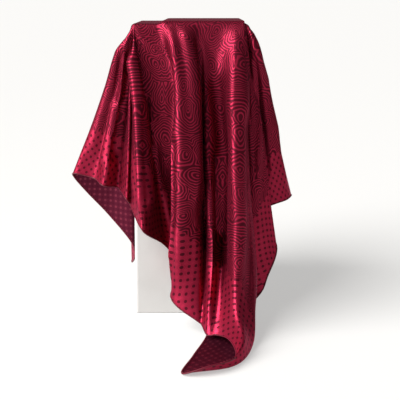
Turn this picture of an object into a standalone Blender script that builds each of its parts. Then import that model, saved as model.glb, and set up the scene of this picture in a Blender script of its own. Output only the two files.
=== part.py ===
"""A square scarf laid cornerwise over an upright display plinth. Metres, +Z up, front towards -Y.

The plinth stands on the floor, centred on the origin. One corner of the scarf hangs down the front and comes
forward on to the floor with its tip curled round to the left, one hangs down each side, and one runs down the
back. On top of the plinth a wide fold runs from front to back, so three layers lie on each other there.

The cloth is made from generators: lines that start on the loop round the plinth's top, turn over its edge and
run down to the hem. Each row of the tables below is one ridge or valley: where it starts, the place on the hem
where it ends, and how it hangs in between. A generator is as long as its cloth, so how low the hem hangs
follows from the size of the scarf, apart from the rows that state a height.
"""

import math
from collections import namedtuple

import bmesh
import bpy
import numpy as np
from mathutils import Vector
from mathutils.geometry import delaunay_2d_cdt

MM = 0.001

# Plinth
STAND_HEIGHT = 450 * MM
STAND_HALF = 84 * MM
STAND_FOOT_HALF = 88 * MM
STAND_ROUNDING = 5 * MM

# Scarf
SCARF_SIDE = 900 * MM
CLOTH = 1.0 * MM
CLEARANCE = 0.45 * MM
LAYER_PITCH = 2.0 * MM
HALF_DIAGONAL = SCARF_SIDE / math.sqrt(2)
TAKE_UP = 0.96

# Where the loop round the plinth's top lies in the cloth, in mm from the scarf's centre
CLOTH_LEFT = -220
CLOTH_RIGHT = 177
CLOTH_FRONT = -50
CLOTH_BACK = 108

# The wide fold on top, in mm: its outer edge lies at the loop's right and its inner edge left of the middle
LOOP_HALF = 79
STEP_X = -34
OUTER_EDGE_CLOTH = -59
INNER_EDGE_CLOTH = 59
HALF_BEND = math.pi * LAYER_PITCH / MM / 4

Fold = namedtuple("Fold", "name cloth hem near near_out mid mid_out low low_out low_z end end_out end_z")
Flare = namedtuple("Flare", "name turn end_x end_y")
Roll = namedtuple("Roll", "name along out height fore fore_out fore_height")

# Each row's places are along the side, anticlockwise from above, and out from it, in mm. The hem place is
# measured from the side's own corner of the scarf. A height of 0 is worked out from the length of the cloth, and
# a near place of 0, 0 lies on the way from the edge to the middle one.
FRONT = [
    Fold("left_corner", -220, -307, -50, 4, -44, 10, -31, 12, 165, -19, 12, 90),
    Fold("left_hollow", -199, -290, -33, 7, -27, 16, -27, 20, 140, -16, 22, 74),
    Fold("centre_fold_edge", -175, -262, -22, 18, -14, 52, -19, 62, 130, -29, 62, 50),
    Fold("centre_fold_right", -134, -212, 11, 18, 14, 44, 16, 60, 110, 11, 88, 22),
    Fold("centre_valley", -127, -200, 16, 11, 19, 27, 22, 44, 105, 17, 90, 18),
    Fold("low_ridge", -116, -173, 23, 12, 29, 40, 32, 72, 95, 26, 115, 11),
    Fold("wide_valley", -98, -157, 38, 11, 48, 25, 46, 50, 92, 38, 118, 13),
    Fold("main_ridge", -74, -138, 66, 20, 65, 60, 64, 92, 90, 54, 136, 16),
    Fold("tip_turn", -66, -76, 77, 17, 84, 48, 87, 92, 60, 62, 198, 14),
    Fold("tip_rim", OUTER_EDGE_CLOTH - HALF_BEND, -38, 81, 15, 88, 43, 95, 90, 54, 28, 224, 15),
    Fold("tip_point", OUTER_EDGE_CLOTH + HALF_BEND, 0, 81, 10, 89, 36, 98, 80, 50, -8, 222, 3),
    Fold("tip_floor", -40, 60, 0, 0, 80, 19, 90, 50, 50, 6, 164, 2),
    Fold("tip_back", -10, 126, 0, 0, 48, 13, 66, 34, 60, 25, 101, 4),
    Fold("inner_edge_over", INNER_EDGE_CLOTH - HALF_BEND, 183, 0, 0, -14, 13, 0, 21, 60, 31, 45, 9),
    Fold("inner_edge_under", INNER_EDGE_CLOTH + HALF_BEND, 189, 0, 0, -14, 8, 0, 13, 60, 32, 34, 9),
    Fold("hidden_run", 108, 206, 0, 0, 42, 6, 65, 8, 60, 84, 12, 14),
    Fold("right_panel_ridge", 148, 228, 0, 0, 76, 11, 91, 19, 80, 103, 18, 40),
    Fold("right_corner", 177, 250, 80, 5, 92, 10, 105, 12, 165, 113, 13, 64),
]
RIGHT = [
    Fold("right_front", -50, -71, 0, 0, -58, 7, -43, 8, 0, -33, 10, 0),
    Fold("right_ridge_1", -28, -38, 0, 0, -36, 20, -28, 28, 0, -22, 32, 0),
    Fold("right_hollow_1", -8, -10, 0, 0, -12, 8, -8, 9, 0, -5, 12, 0),
    Fold("right_tip", 8, 0, 0, 0, 6, 20, 8, 26, 0, 8, 30, 0),
    Fold("right_hollow_2", 40, 52, 0, 0, 28, 7, 26, 9, 0, 26, 12, 0),
    Fold("right_ridge_2", 68, 96, 0, 0, 48, 22, 50, 32, 0, 52, 38, 0),
    Fold("right_back", 108, 153, 0, 0, 68, 7, 64, 9, 0, 60, 11, 0),
]
BACK = [
    Fold("back_right", 177, -250, 0, 0, -70, 4, -62, 5, 0, -58, 7, 0),
    Fold("back_run", 108, -149, 0, 0, -14, 6, -18, 8, 0, -22, 9, 0),
    Fold("back_inner_under", INNER_EDGE_CLOTH + HALF_BEND, -86, 0, 0, 31, 8, 27, 11, 0, 23, 14, 0),
    Fold("back_inner_over", INNER_EDGE_CLOTH - HALF_BEND, -80, 0, 0, 31, 15, 27, 19, 0, 23, 24, 4),
    Fold("back_hidden", 20, -28, 0, 0, -2, 15, -4, 19, 0, -6, 62, 3),
    Fold("back_tip", -10, 0, 0, 0, -30, 16, -28, 23, 0, -20, 92, 2),
    Fold("back_outer_under", OUTER_EDGE_CLOTH + HALF_BEND, 80, 0, 0, -77, 16, -71, 25, 0, -62, 40, 6),
    Fold("back_outer_over", OUTER_EDGE_CLOTH - HALF_BEND, 86, 0, 0, -77, 24, -71, 34, 0, -62, 50, 6),
    Fold("back_ridge_1", -92, 130, 0, 0, -46, 44, -42, 58, 0, -40, 64, 0),
    Fold("back_hollow_1", -120, 170, 0, 0, -24, 28, -20, 36, 0, -18, 40, 0),
    Fold("back_ridge_2", -150, 212, 0, 0, 6, 42, 8, 54, 0, 8, 60, 0),
    Fold("back_hollow_2", -186, 262, 0, 0, 38, 12, 36, 16, 0, 34, 18, 0),
    Fold("back_left", -220, 311, 0, 0, 68, 8, 64, 10, 0, 60, 12, 0),
]
LEFT = [
    Fold("left_back", 108, -153, 0, 0, -70, 7, -66, 8, 0, -64, 9, 0),
    Fold("left_ridge_1", 76, -107, 0, 0, -48, 18, -46, 24, 0, -44, 26, 0),
    Fold("left_hollow_1", 44, -62, 0, 0, -24, 6, -22, 7, 0, -22, 8, 0),
    Fold("left_tip", 0, 0, 0, 0, 4, 14, 2, 16, 0, 0, 16, 0),
    Fold("left_hollow_2", -22, 31, 0, 0, 30, 5, 32, 6, 0, 34, 7, 0),
    Fold("left_front", -50, 71, 0, 0, 62, 6, 56, 8, 0, 52, 9, 0),
]

# Where the rows of the tip pass before they reach the hem: the roll that carries the curled tip over the floor
TIP_ROLL = [
    Roll("main_ridge", 62, 108, 60, 58, 124, 36),
    Roll("tip_turn", 80, 124, 38, 75, 170, 26),
    Roll("tip_rim", 92, 136, 11, 66, 194, 4),
    Roll("tip_point", 80, 142, 2, 42, 200, 2),
    Roll("tip_floor", 62, 118, 2, 34, 146, 2),
    Roll("tip_back", 54, 66, 18, 40, 86, 8),
]

# The flares at the plinth's corners, anticlockwise. The turn is the cloth's own angle, of a right angle in all,
# and the ends are places on the floor plan, in mm.
FRONT_RIGHT_FLARE = [
    Flare("panel_edge", 8, 134, -97),
    Flare("panel_valley", 28, 110, -80),
    Flare("crest_front", 43, 150, -76),
    Flare("crest_back", 53, 157, -52),
    Flare("far_valley", 66, 110, -60),
    Flare("far_crest", 79, 120, -34),
]
RIGHT_BACK_FLARE = [
    Flare("crest_1", 13, 150, 66),
    Flare("valley_1", 26, 106, 86),
    Flare("crest_2", 40, 150, 118),
    Flare("valley_2", 55, 106, 102),
    Flare("crest_3", 70, 120, 160),
    Flare("valley_3", 83, 76, 98),
]
BACK_LEFT_FLARE = [
    Flare("crest_1", 13, -62, 164),
    Flare("valley_1", 28, -88, 108),
    Flare("crest_2", 46, -138, 150),
    Flare("valley_2", 63, -106, 98),
    Flare("crest_3", 77, -158, 76),
]
LEFT_FRONT_FLARE = [
    Flare("far_hem_1", 8, -124, -38),
    Flare("far_hem_2", 17, -153, -36),
    Flare("crest_back", 25, -175, -38),
    Flare("crest_front", 35, -180, -60),
    Flare("face", 43, -150, -64),
    Flare("small_ridge", 52, -132, -88),
    Flare("dark_valley", 58, -113, -68),
    Flare("corner_ridge", 65, -97, -100),
    Flare("corner_valley", 70, -92, -92),
    Flare("front_ridge", 81, -68, -156),
    Flare("front_valley", 88.6, -37, -96),
]

# How finely the cloth is divided. A column stands at each share of the way between two rows, where the gap along
# the hem is at least so many steps: closer to the rows than to the middle, as the cloth bends most there.
HEM_STEP = 26 * MM
COLUMN_SHARES = ((0.0, 0.0), (0.22, 0.8), (0.5, 3.2), (0.78, 0.8))
RING_SHARES = (0.1, 0.2, 0.31, 0.43, 0.55, 0.67, 0.78, 0.89, 1.0)
EDGE_TURN = math.radians(72)
EDGE_RINGS = 3
TOP_ROWS = 5
TOP_STEP = 24 * MM
TURN_SHARES = (-1.0, -0.5, 0.0, 0.5, 1.0)
STEP_PLACES = (-188, -184, -180, -177)
CORNER_STEPS = 4

# The middle and low knots' shares of the cloth's length, down from the edge
MID_SHARE = 0.42
LOW_SHARE = 0.74

# The knot close under the edge: its share of the way to the next, and how far the cloth stands out there from a
# corner of the plinth, in the middle of a flare: at most so far, and at most so much of the flare's own reach
NEAR_SHARE = 0.24
SHOULDER = 17 * MM
SHOULDER_SHARE = 0.3
NEAR_SPREAD = 0.7

# The most that the wall's corners are drawn out along a sharp fold, to keep the wall even
MITRE_LIMIT = 1.5

# How far a curve's slope reaches, as a share of the gap that it spans
REACH_LIMIT = 1.2

# How clear of the plinth's sides the middle of the cloth stays, once it has come this far down from the top
SIDE_GAP = 2.4 * MM
SIDE_GAP_DROP = 40 * MM
LOW_GAP = CLEARANCE + CLOTH / 2

# Finishes: linear colour, roughness
SATIN = ("scarf_satin", (0.26, 0.012, 0.045), 0.36)
PAINT = ("plinth_paint", (0.80, 0.78, 0.75), 0.62)


def turn_places(edge):
    """The places across the cloth, in mm, that divide the turn at one edge of the wide fold."""
    return [edge + share * HALF_BEND for share in TURN_SHARES]


def top_profile(cloth):
    """Where a place across the cloth, in mm, lies on the plinth's top: its x and height, through the layers."""
    low = STAND_HEIGHT + LOW_GAP
    turn = 2 * HALF_BEND * MM
    right = LOOP_HALF * MM
    cloth = cloth * MM
    outer = OUTER_EDGE_CLOTH * MM
    inner = INNER_EDGE_CLOTH * MM
    if cloth <= outer - turn / 2:
        x = cloth - (outer - turn / 2) + right
        step = min(1.0, max(0.0, (x / MM - STEP_X + 14) / 12))
        return x, low + 2 * LAYER_PITCH * step * step * (3 - 2 * step)
    if cloth < outer + turn / 2:
        angle = math.pi * (cloth - outer + turn / 2) / turn
        return right + LAYER_PITCH / 2 * math.sin(angle), low + LAYER_PITCH * (1.5 + math.cos(angle) / 2)
    inner_x = right - (inner - outer - turn)
    if cloth <= inner - turn / 2:
        return right - (cloth - outer - turn / 2), low + LAYER_PITCH
    if cloth < inner + turn / 2:
        angle = math.pi * (cloth - inner + turn / 2) / turn
        return inner_x - LAYER_PITCH / 2 * math.sin(angle), low + LAYER_PITCH * (0.5 + math.cos(angle) / 2)
    return inner_x + (cloth - inner - turn / 2), low


def on_top(cloth):
    """The point of the plinth's top where a place of the cloth lies."""
    x, z = top_profile(cloth[0] / MM)
    return np.array([x, cloth[1] - (CLOTH_FRONT + CLOTH_BACK) / 2 * MM, z])


def turned(x, y, quarters):
    """A plan place turned by a number of quarter turns, anticlockwise from above."""
    for _ in range(quarters % 4):
        x, y = -y, x
    return x, y


def hem_point(corner, place):
    """The cloth place of a point on the hem, measured along it from corner 0 front, 1 right, 2 back or 3 left."""
    reach = HALF_DIAGONAL - abs(place) / math.sqrt(2)
    return turned(place / math.sqrt(2), -reach, corner)


def ray_to_hem(x, y, dx, dy):
    """Where a line across the cloth meets the hem."""
    run = (HALF_DIAGONAL - abs(x) - abs(y)) / (dx * math.copysign(1, x) + dy * math.copysign(1, y))
    return x + dx * run, y + dy * run


def edge_radius(top):
    """The radius on which the cloth turns over the plinth's edge: larger for an upper layer."""
    return STAND_ROUNDING + top[2] - STAND_HEIGHT


def edge_point(top, outward, angle):
    """A point of the turn over the plinth's edge, from 0 on top to a right angle on the face."""
    radius = edge_radius(top)
    out = outward * radius * math.sin(angle)
    return np.array([top[0] + out[0], top[1] + out[1], top[2] - radius * (1 - math.cos(angle))])


def slope(values, knots, k, closed, first_slope):
    """The slope of a smooth curve at one knot, from its neighbours."""
    last = len(knots) - 1
    if not closed and k == 0:
        return first_slope if first_slope is not None else (values[1] - values[0]) / (knots[1] - knots[0])
    if not closed and k == last:
        return (values[last] - values[last - 1]) / (knots[last] - knots[last - 1])
    count = len(values)
    before = knots[k] - knots[k - 1] if k > 0 else knots[-1] - knots[-2]
    after = knots[k + 1] - knots[k] if k < last else knots[1] - knots[0]
    rise_before = (values[k % count] - values[(k - 1) % count]) / before
    rise_after = (values[(k + 1) % count] - values[k % count]) / after
    return (rise_before * after + rise_after * before) / (before + after)


def smooth_through(values, knots, at, closed=False, first_slope=None):
    """A smooth curve through values at knots, read at one place: a cubic with slopes from the neighbours."""
    i = int(np.clip(np.searchsorted(knots, at, side="right") - 1, 0, len(knots) - 2))
    h = knots[i + 1] - knots[i]
    s = (at - knots[i]) / h
    a, b = values[i % len(values)], values[(i + 1) % len(values)]
    reach_a = slope(values, knots, i, closed, first_slope) * h
    reach_b = slope(values, knots, i + 1, closed, first_slope) * h
    if closed:
        chord = np.linalg.norm(b - a, axis=-1, keepdims=True)
        reach_a, reach_b = held_in(reach_a, chord), held_in(reach_b, chord)
    return (
        a * (1 + 2 * s) * (1 - s) ** 2
        + reach_a * s * (1 - s) ** 2
        + b * s * s * (3 - 2 * s)
        + reach_b * s * s * (s - 1)
    )


def held_in(reach, chord):
    """A slope's reach made no longer than the gap it spans allows, so that a curve cannot loop in a narrow gap."""
    size = np.linalg.norm(reach, axis=-1, keepdims=True)
    return reach * np.minimum(1.0, REACH_LIMIT * chord / np.maximum(size, 1e-9))


def marks_along(points):
    """The distance along a run of points at each of them."""
    legs = np.linalg.norm(np.diff(points, axis=0), axis=1)
    return np.concatenate([[0.0], np.cumsum(legs)])


def clear_of_plinth(points):
    """The points moved level until they are clear of the plinth's tapered sides, and up, clear of the floor."""
    moved = points.copy()
    for p in moved:
        p[2] = max(p[2], LOW_GAP)
        drop = STAND_HEIGHT - p[2]
        core = STAND_HALF + (STAND_FOOT_HALF - STAND_HALF) * drop / STAND_HEIGHT - STAND_ROUNDING
        past = np.abs(p[:2]) - core
        if min(past) > 0:
            away = past / np.hypot(*past)
            gap = np.hypot(*past) - STAND_ROUNDING
        else:
            away = np.array([1.0, 0.0]) if past[0] > past[1] else np.array([0.0, 1.0])
            gap = max(past) - STAND_ROUNDING
        need = LOW_GAP + (SIDE_GAP - LOW_GAP) * min(1.0, drop / SIDE_GAP_DROP)
        if gap < need:
            p[:2] += np.where(p[:2] < 0, -away, away) * (need - gap)
    return moved


class Generator:
    """One line of cloth, from the loop round the plinth's top to the hem."""

    def __init__(self, name, cloth, hem, outward, plan, heights, roll=None, near=None, spread=1.0):
        self.name = name
        self.cloth = np.array(cloth) * MM
        self.hem = np.array(hem)
        self.top = on_top(self.cloth)
        self.outward = np.array(outward) / np.hypot(*outward)
        self.length = float(np.hypot(*(self.hem - self.cloth)))
        self.knots = self.hang(plan, heights, roll, near, spread)

    def hang(self, plan, heights, roll, near, spread):
        """The knots below the edge: each lies as low as its share of the cloth allows, or at its own height.

        The first lies close under the edge, where it is drawn towards the near place by the share of the spread.
        """
        knots = [edge_point(self.top, self.outward, EDGE_TURN)]
        cloth_used = edge_radius(self.top) * EDGE_TURN
        for (x, y), height, share in zip(plan, heights, (MID_SHARE, LOW_SHARE, 1.0)):
            run = self.length * share * TAKE_UP - cloth_used
            cloth_used = self.length * share * TAKE_UP
            across = math.hypot(x - knots[-1][0], y - knots[-1][1])
            z = height or knots[-1][2] - math.sqrt(max(run * run - across * across, 0.0))
            knots.append(np.array([x, y, z]))
        if roll is None:
            marks = marks_along(np.array(knots))
            thirds = (marks[2] + (marks[3] - marks[2]) * share for share in (1 / 3, 2 / 3))
            roll = [smooth_through(np.array(knots), marks, at) for at in thirds]
        knots[3:3] = roll
        first = knots[0] + (knots[1] - knots[0]) * NEAR_SHARE
        if near is not None:
            first[:2] += (near - first[:2]) * spread
        knots.insert(1, first)
        return np.array(knots)


def side_generators(side, folds):
    """The generators of one side, from its table: side 0 is the front, then right, back and left."""
    edge = (CLOTH_FRONT, CLOTH_RIGHT, CLOTH_BACK, CLOTH_LEFT)[side]
    half = STAND_HALF / MM
    rolls = {
        r.name: np.array([[r.along, -half - r.out, r.height], [r.fore, -half - r.fore_out, r.fore_height]]) * MM
        for r in TIP_ROLL
    }
    made = []
    for f in folds:
        cloth = (f.cloth, edge) if side % 2 == 0 else (edge, f.cloth)
        plan = [
            turned(along * MM, -(STAND_HALF + out * MM), side)
            for along, out in ((f.mid, f.mid_out), (f.low, f.low_out), (f.end, f.end_out))
        ]
        mid_z = STAND_HEIGHT - (STAND_HEIGHT - f.low_z * MM) * MID_SHARE / LOW_SHARE if f.low_z else None
        heights = (mid_z, f.low_z * MM, f.end_z * MM)
        hem = hem_point(side, f.hem * MM)
        near = np.array(turned(f.near * MM, -(STAND_HALF + f.near_out * MM), side)) if f.near_out else None
        outward = turned(0, -1, side)
        made.append(Generator(f.name, cloth, hem, outward, plan, heights, rolls.get(f.name), near))
    for corner in (made[0], made[-1]):
        if corner.name not in ("left_corner", "right_corner"):
            corner.knots[1][:2] = corner.knots[0][:2] + corner.outward * SIDE_GAP
    return made


def flare_generators(corner, flares):
    """The generators of one flare, straight lines that fan out from a corner of the plinth's top."""
    x_edge = CLOTH_RIGHT if corner in (0, 1) else CLOTH_LEFT
    y_edge = CLOTH_FRONT if corner in (0, 3) else CLOTH_BACK
    start = on_top(np.array([x_edge, y_edge]) * MM)[:2]
    made = []
    for f in flares:
        angle = math.radians(90 * corner - 90 + f.turn)
        hem = ray_to_hem(x_edge * MM, y_edge * MM, math.cos(angle), math.sin(angle))
        outward = np.array([math.cos(angle), math.sin(angle)])
        foot = start + outward * STAND_ROUNDING
        swing = np.array([f.end_x, f.end_y]) * MM - foot
        plan = [foot + swing * share for share in (MID_SHARE, LOW_SHARE, 1.0)]
        reach = min(SHOULDER, SHOULDER_SHARE * math.hypot(*swing)) * math.sin(2 * math.radians(f.turn))
        near = start + outward * (reach + edge_radius(on_top(np.array([x_edge, y_edge]) * MM)))
        made.append(
            Generator(f.name, (x_edge, y_edge), hem, outward, plan, (None,) * 3, None, near, NEAR_SPREAD)
        )
    return made


def all_generators():
    """Every generator, anticlockwise from the front's left corner."""
    sides = (FRONT, RIGHT, BACK, LEFT)
    flares = (FRONT_RIGHT_FLARE, RIGHT_BACK_FLARE, BACK_LEFT_FLARE, LEFT_FRONT_FLARE)
    rows = []
    for side in range(4):
        rows += side_generators(side, sides[side])
        rows += flare_generators(side, flares[side])
    return rows


class Drape:
    """The cloth's middle surface: columns of points along generators, between the rows of the tables."""

    def __init__(self, hem_step=HEM_STEP, ring_shares=RING_SHARES):
        self.rows = all_generators()
        self.shares = ring_shares
        gaps = [np.hypot(*(b.hem - a.hem)) for a, b in self.pairs()]
        self.marks = np.concatenate([[0.0], np.cumsum(np.sqrt(gaps))])
        self.knots = np.array([r.knots for r in self.rows])
        self.columns = []
        for i, (a, b) in enumerate(self.pairs()):
            for share in self.shares_between(a, b, gaps[i] / hem_step):
                self.columns.append(self.column(i, share))

    def pairs(self):
        """Each row with the next one round."""
        return list(zip(self.rows, self.rows[1:] + self.rows[:1]))

    @staticmethod
    def shares_between(a, b, steps):
        """Where columns stand between two rows: by the table, and at each place where the cloth turns or steps."""
        shares = [share for share, fewest in COLUMN_SHARES if steps >= fewest]
        span = b.cloth[0] - a.cloth[0]
        if abs(span) > 1e-9 and a.cloth[1] == b.cloth[1]:
            turns = turn_places(OUTER_EDGE_CLOTH) + turn_places(INNER_EDGE_CLOTH)
            places = [(place * MM - a.cloth[0]) / span for place in turns + list(STEP_PLACES[::3])]
            near = 0.4 * MM / abs(span)
            places = [s for s in places if near < s < 1.0 - near]
            shares = [s for s in shares if s == 0.0 or all(abs(s - q) > near for q in places)] + places
        return sorted(shares)

    def column(self, i, share):
        """The points of one column, a share of the way from row i to the next, with their cloth places."""
        a, b = self.rows[i], self.rows[(i + 1) % len(self.rows)]
        at = self.marks[i] + (self.marks[i + 1] - self.marks[i]) * share
        cloth = a.cloth + (b.cloth - a.cloth) * share
        hem = a.hem + (b.hem - a.hem) * share
        hem = hem * HALF_DIAGONAL / abs(hem).sum()
        top = on_top(cloth)
        outward = a.outward + (b.outward - a.outward) * share
        outward = outward / np.hypot(*outward)
        knots = smooth_through(self.knots, self.marks, at, closed=True)
        knots[0] = edge_point(top, outward, EDGE_TURN)
        marks = marks_along(knots)
        down = np.array([*(outward * math.cos(EDGE_TURN)), -math.sin(EDGE_TURN)])
        points = [edge_point(top, outward, EDGE_TURN * k / EDGE_RINGS) for k in range(EDGE_RINGS + 1)]
        hanging = [smooth_through(knots, marks, s * marks[-1], first_slope=down) for s in self.shares]
        turn_length = edge_radius(top) * EDGE_TURN
        whole = turn_length + marks[-1]
        places = [turn_length * k / EDGE_RINGS / whole for k in range(EDGE_RINGS + 1)]
        places += [(turn_length + s * marks[-1]) / whole for s in self.shares]
        points = np.concatenate([points, clear_of_plinth(np.array(hanging))])
        return points, np.array([cloth + (hem - cloth) * p for p in places])


class Surface:
    """The middle surface as one mesh: its vertices, their places in the flat cloth, and its faces."""

    def __init__(self, drape):
        self.vertices = []
        self.cloth = []
        self.faces = []
        self.index = {}
        rings = [[self.vertex(p, c) for p, c in zip(*column)] for column in drape.columns]
        for left, right in zip(rings, rings[1:] + rings[:1]):
            for k in range(len(left) - 1):
                corners = [left[k], left[k + 1], right[k + 1], right[k]]
                self.faces.append([c for n, c in enumerate(corners) if c not in corners[:n]])
        loop = []
        for ring in rings:
            if ring[0] not in loop:
                loop.append(ring[0])
        self.fill_top(loop)

    def vertex(self, point, place):
        """The number of the vertex at a cloth place, added if it is new."""
        key = (round(place[0] / MM, 3), round(place[1] / MM, 3))
        if key not in self.index:
            self.index[key] = len(self.vertices)
            self.vertices.append(point)
            self.cloth.append(place)
        return self.index[key]

    def fill_top(self, loop):
        """The part that lies on the plinth: triangles between the loop and points in rows, with the folds kept."""
        turns = turn_places(OUTER_EDGE_CLOTH) + turn_places(INNER_EDGE_CLOTH)
        across = sorted(turns + list(STEP_PLACES))
        at = CLOTH_LEFT * MM + TOP_STEP
        while at < CLOTH_RIGHT * MM - TOP_STEP / 2:
            if all(abs(at / MM - place) > 9 for place in turns + list(STEP_PLACES)):
                across.append(at / MM)
            at += TOP_STEP
        rows = np.linspace(CLOTH_FRONT, CLOTH_BACK, TOP_ROWS + 2)[1:-1]
        edges = list(zip(loop, loop[1:] + loop[:1]))
        for place in across:
            cloth = [np.array([place, row]) * MM for row in rows]
            inside = [self.vertex(on_top(c), c) for c in cloth]
            ends = [self.index.get((round(place, 3), float(y))) for y in (CLOTH_FRONT, CLOTH_BACK)]
            run = [n for n in (ends[0], *inside, ends[1]) if n is not None]
            edges += list(zip(run, run[1:]))
        used = sorted({n for edge in edges for n in edge})
        local = {n: k for k, n in enumerate(used)}
        flat = [Vector(self.cloth[n] / MM) for n in used]
        pairs = [(local[a], local[b]) for a, b in edges]
        _, _, triangles, sources, _, _ = delaunay_2d_cdt(flat, pairs, [], 0, 1e-4)
        for triangle in triangles:
            self.faces.append([used[sources[n][0]] for n in triangle])


def build_cloth():
    """The scarf: a closed wall of even thickness on both sides of the middle surface."""
    surface = Surface(Drape())
    middle = bmesh.new()
    for point in surface.vertices:
        middle.verts.new(point)
    middle.verts.ensure_lookup_table()
    middle.verts.index_update()
    for face in surface.faces:
        if len(face) > 2:
            middle.faces.new([middle.verts[n] for n in face])
    middle.normal_update()

    wall = bmesh.new()
    half = [v.normal * CLOTH / 2 * min(v.calc_shell_factor(), MITRE_LIMIT) for v in middle.verts]
    outer = [wall.verts.new(v.co + h) for v, h in zip(middle.verts, half)]
    inner = [wall.verts.new(v.co - h) for v, h in zip(middle.verts, half)]
    for face in middle.faces:
        numbers = [v.index for v in face.verts]
        wall.faces.new([outer[n] for n in numbers])
        wall.faces.new([inner[n] for n in reversed(numbers)])
    for edge in middle.edges:
        if edge.is_boundary:
            corners = [v.index for v in edge.link_loops[0].face.verts]
            a, b = edge.verts[0].index, edge.verts[1].index
            if corners[(corners.index(a) + 1) % len(corners)] != b:
                a, b = b, a
            wall.faces.new([outer[b], outer[a], inner[a], inner[b]])
    middle.free()
    return wall


def build_plinth():
    """The plinth: a tapered block with rounded upright corners, a rounded top edge and a flat foot."""
    foot = 1.5 * MM
    rings = [(0.0, STAND_FOOT_HALF - foot, STAND_ROUNDING), (foot, STAND_FOOT_HALF, STAND_ROUNDING)]
    for k in range(CORNER_STEPS + 1):
        angle = math.pi / 2 * k / CORNER_STEPS
        radius = STAND_ROUNDING * math.cos(angle)
        height = STAND_HEIGHT - STAND_ROUNDING * (1 - math.sin(angle))
        rings.append((height, STAND_HALF - STAND_ROUNDING + radius, radius))
    block = bmesh.new()
    made = []
    for height, half, radius in rings:
        ring = []
        for quarter in range(4):
            for k in range(CORNER_STEPS + 1):
                angle = math.pi / 2 * k / CORNER_STEPS - math.pi / 2
                x, y = turned(
                    half - radius + radius * math.cos(angle), -(half - radius) + radius * math.sin(angle), quarter
                )
                ring.append(block.verts.new((x, y, height)))
        made.append(ring)
    block.faces.new(list(reversed(made[0])))
    for low, high in zip(made, made[1:]):
        for n, vert in enumerate(low):
            after = (n + 1) % len(low)
            block.faces.new([vert, low[after], high[after], high[n]])
    block.faces.new(made[-1])
    bmesh.ops.remove_doubles(block, verts=block.verts, dist=1e-6)
    bmesh.ops.dissolve_degenerate(block, edges=block.edges, dist=1e-6)
    return block


def add_object(name, shape, finish):
    """One node of the part, from its shape and its finish."""
    mesh = bpy.data.meshes.new(name)
    shape.to_mesh(mesh)
    shape.free()
    material = bpy.data.materials.new(finish[0])
    material.use_nodes = True
    shader = material.node_tree.nodes["Principled BSDF"]
    shader.inputs["Base Color"].default_value = (*finish[1], 1.0)
    shader.inputs["Roughness"].default_value = finish[2]
    shader.inputs["Metallic"].default_value = 0.0
    mesh.materials.append(material)
    made = bpy.data.objects.new(name, mesh)
    bpy.context.scene.collection.objects.link(made)
    return made


def main():
    """Clear the scene and build the plinth and the scarf on it."""
    for old in list(bpy.data.objects):
        bpy.data.objects.remove(old, do_unlink=True)
    add_object("display_plinth", build_plinth(), PAINT)
    add_object("scarf_cloth", build_cloth(), SATIN)


main()
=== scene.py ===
"""Looks of the square satin scarf that lies cornerwise over a white display plinth.

The scarf is a thin shell on the drape of its solid. Its jacquard has fine contour lines inside a dotted
border, and a narrow rolled hem is stitched all round. The plinth is painted matt white.
"""

import logging
import math
from dataclasses import dataclass, field
from enum import Enum
from typing import Iterator, NamedTuple, Optional, Sequence

import bmesh
import bpy
import numpy as np
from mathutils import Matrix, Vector, noise
from mathutils.bvhtree import BVHTree
from mathutils.geometry import delaunay_2d_cdt


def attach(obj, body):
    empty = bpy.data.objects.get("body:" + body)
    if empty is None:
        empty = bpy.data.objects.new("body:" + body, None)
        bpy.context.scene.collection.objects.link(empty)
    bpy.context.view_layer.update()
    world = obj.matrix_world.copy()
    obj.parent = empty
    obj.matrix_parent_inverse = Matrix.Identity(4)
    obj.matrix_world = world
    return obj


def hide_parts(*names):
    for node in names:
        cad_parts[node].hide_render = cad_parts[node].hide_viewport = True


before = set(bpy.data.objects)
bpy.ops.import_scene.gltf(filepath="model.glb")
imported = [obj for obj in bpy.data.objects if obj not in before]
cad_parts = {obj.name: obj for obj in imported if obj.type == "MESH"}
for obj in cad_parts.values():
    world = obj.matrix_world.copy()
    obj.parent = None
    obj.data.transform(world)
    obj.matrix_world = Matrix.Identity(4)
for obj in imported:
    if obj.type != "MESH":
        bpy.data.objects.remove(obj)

log = logging.getLogger("scarf")

MM = 0.001
TINY = 1e-6


# ---------------------------------------------------------------- the drape's tables

class Fold(NamedTuple):
    """One ridge or valley of a side, in mm: places along the side and out from it, at each knot."""

    name: str
    cloth: float
    hem: float
    near: float
    near_out: float
    mid: float
    mid_out: float
    low: float
    low_out: float
    low_z: float
    end: float
    end_out: float
    end_z: float


class Flare(NamedTuple):
    """One ridge or valley of a flare: its turn in degrees, and where its hem hangs, in mm."""

    name: str
    turn: float
    end_x: float
    end_y: float


class Roll(NamedTuple):
    """Where a row of the tip passes over the floor before it reaches the hem, in mm."""

    name: str
    along: float
    out: float
    height: float
    fore: float
    fore_out: float
    fore_height: float


class Crease(NamedTuple):
    """A soft ridge or trough through three places of the flat cloth, in mm, with its width and its rise."""

    name: str
    from_x: float
    from_y: float
    mid_x: float
    mid_y: float
    to_x: float
    to_y: float
    width: float
    rise: float


# The wide fold on top, in mm: its layers, and its edges in the flat cloth.
LAYER_PITCH = 2.0
OUTER_EDGE = -59
INNER_EDGE = 59
HALF_BEND = math.pi * LAYER_PITCH / 4

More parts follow.
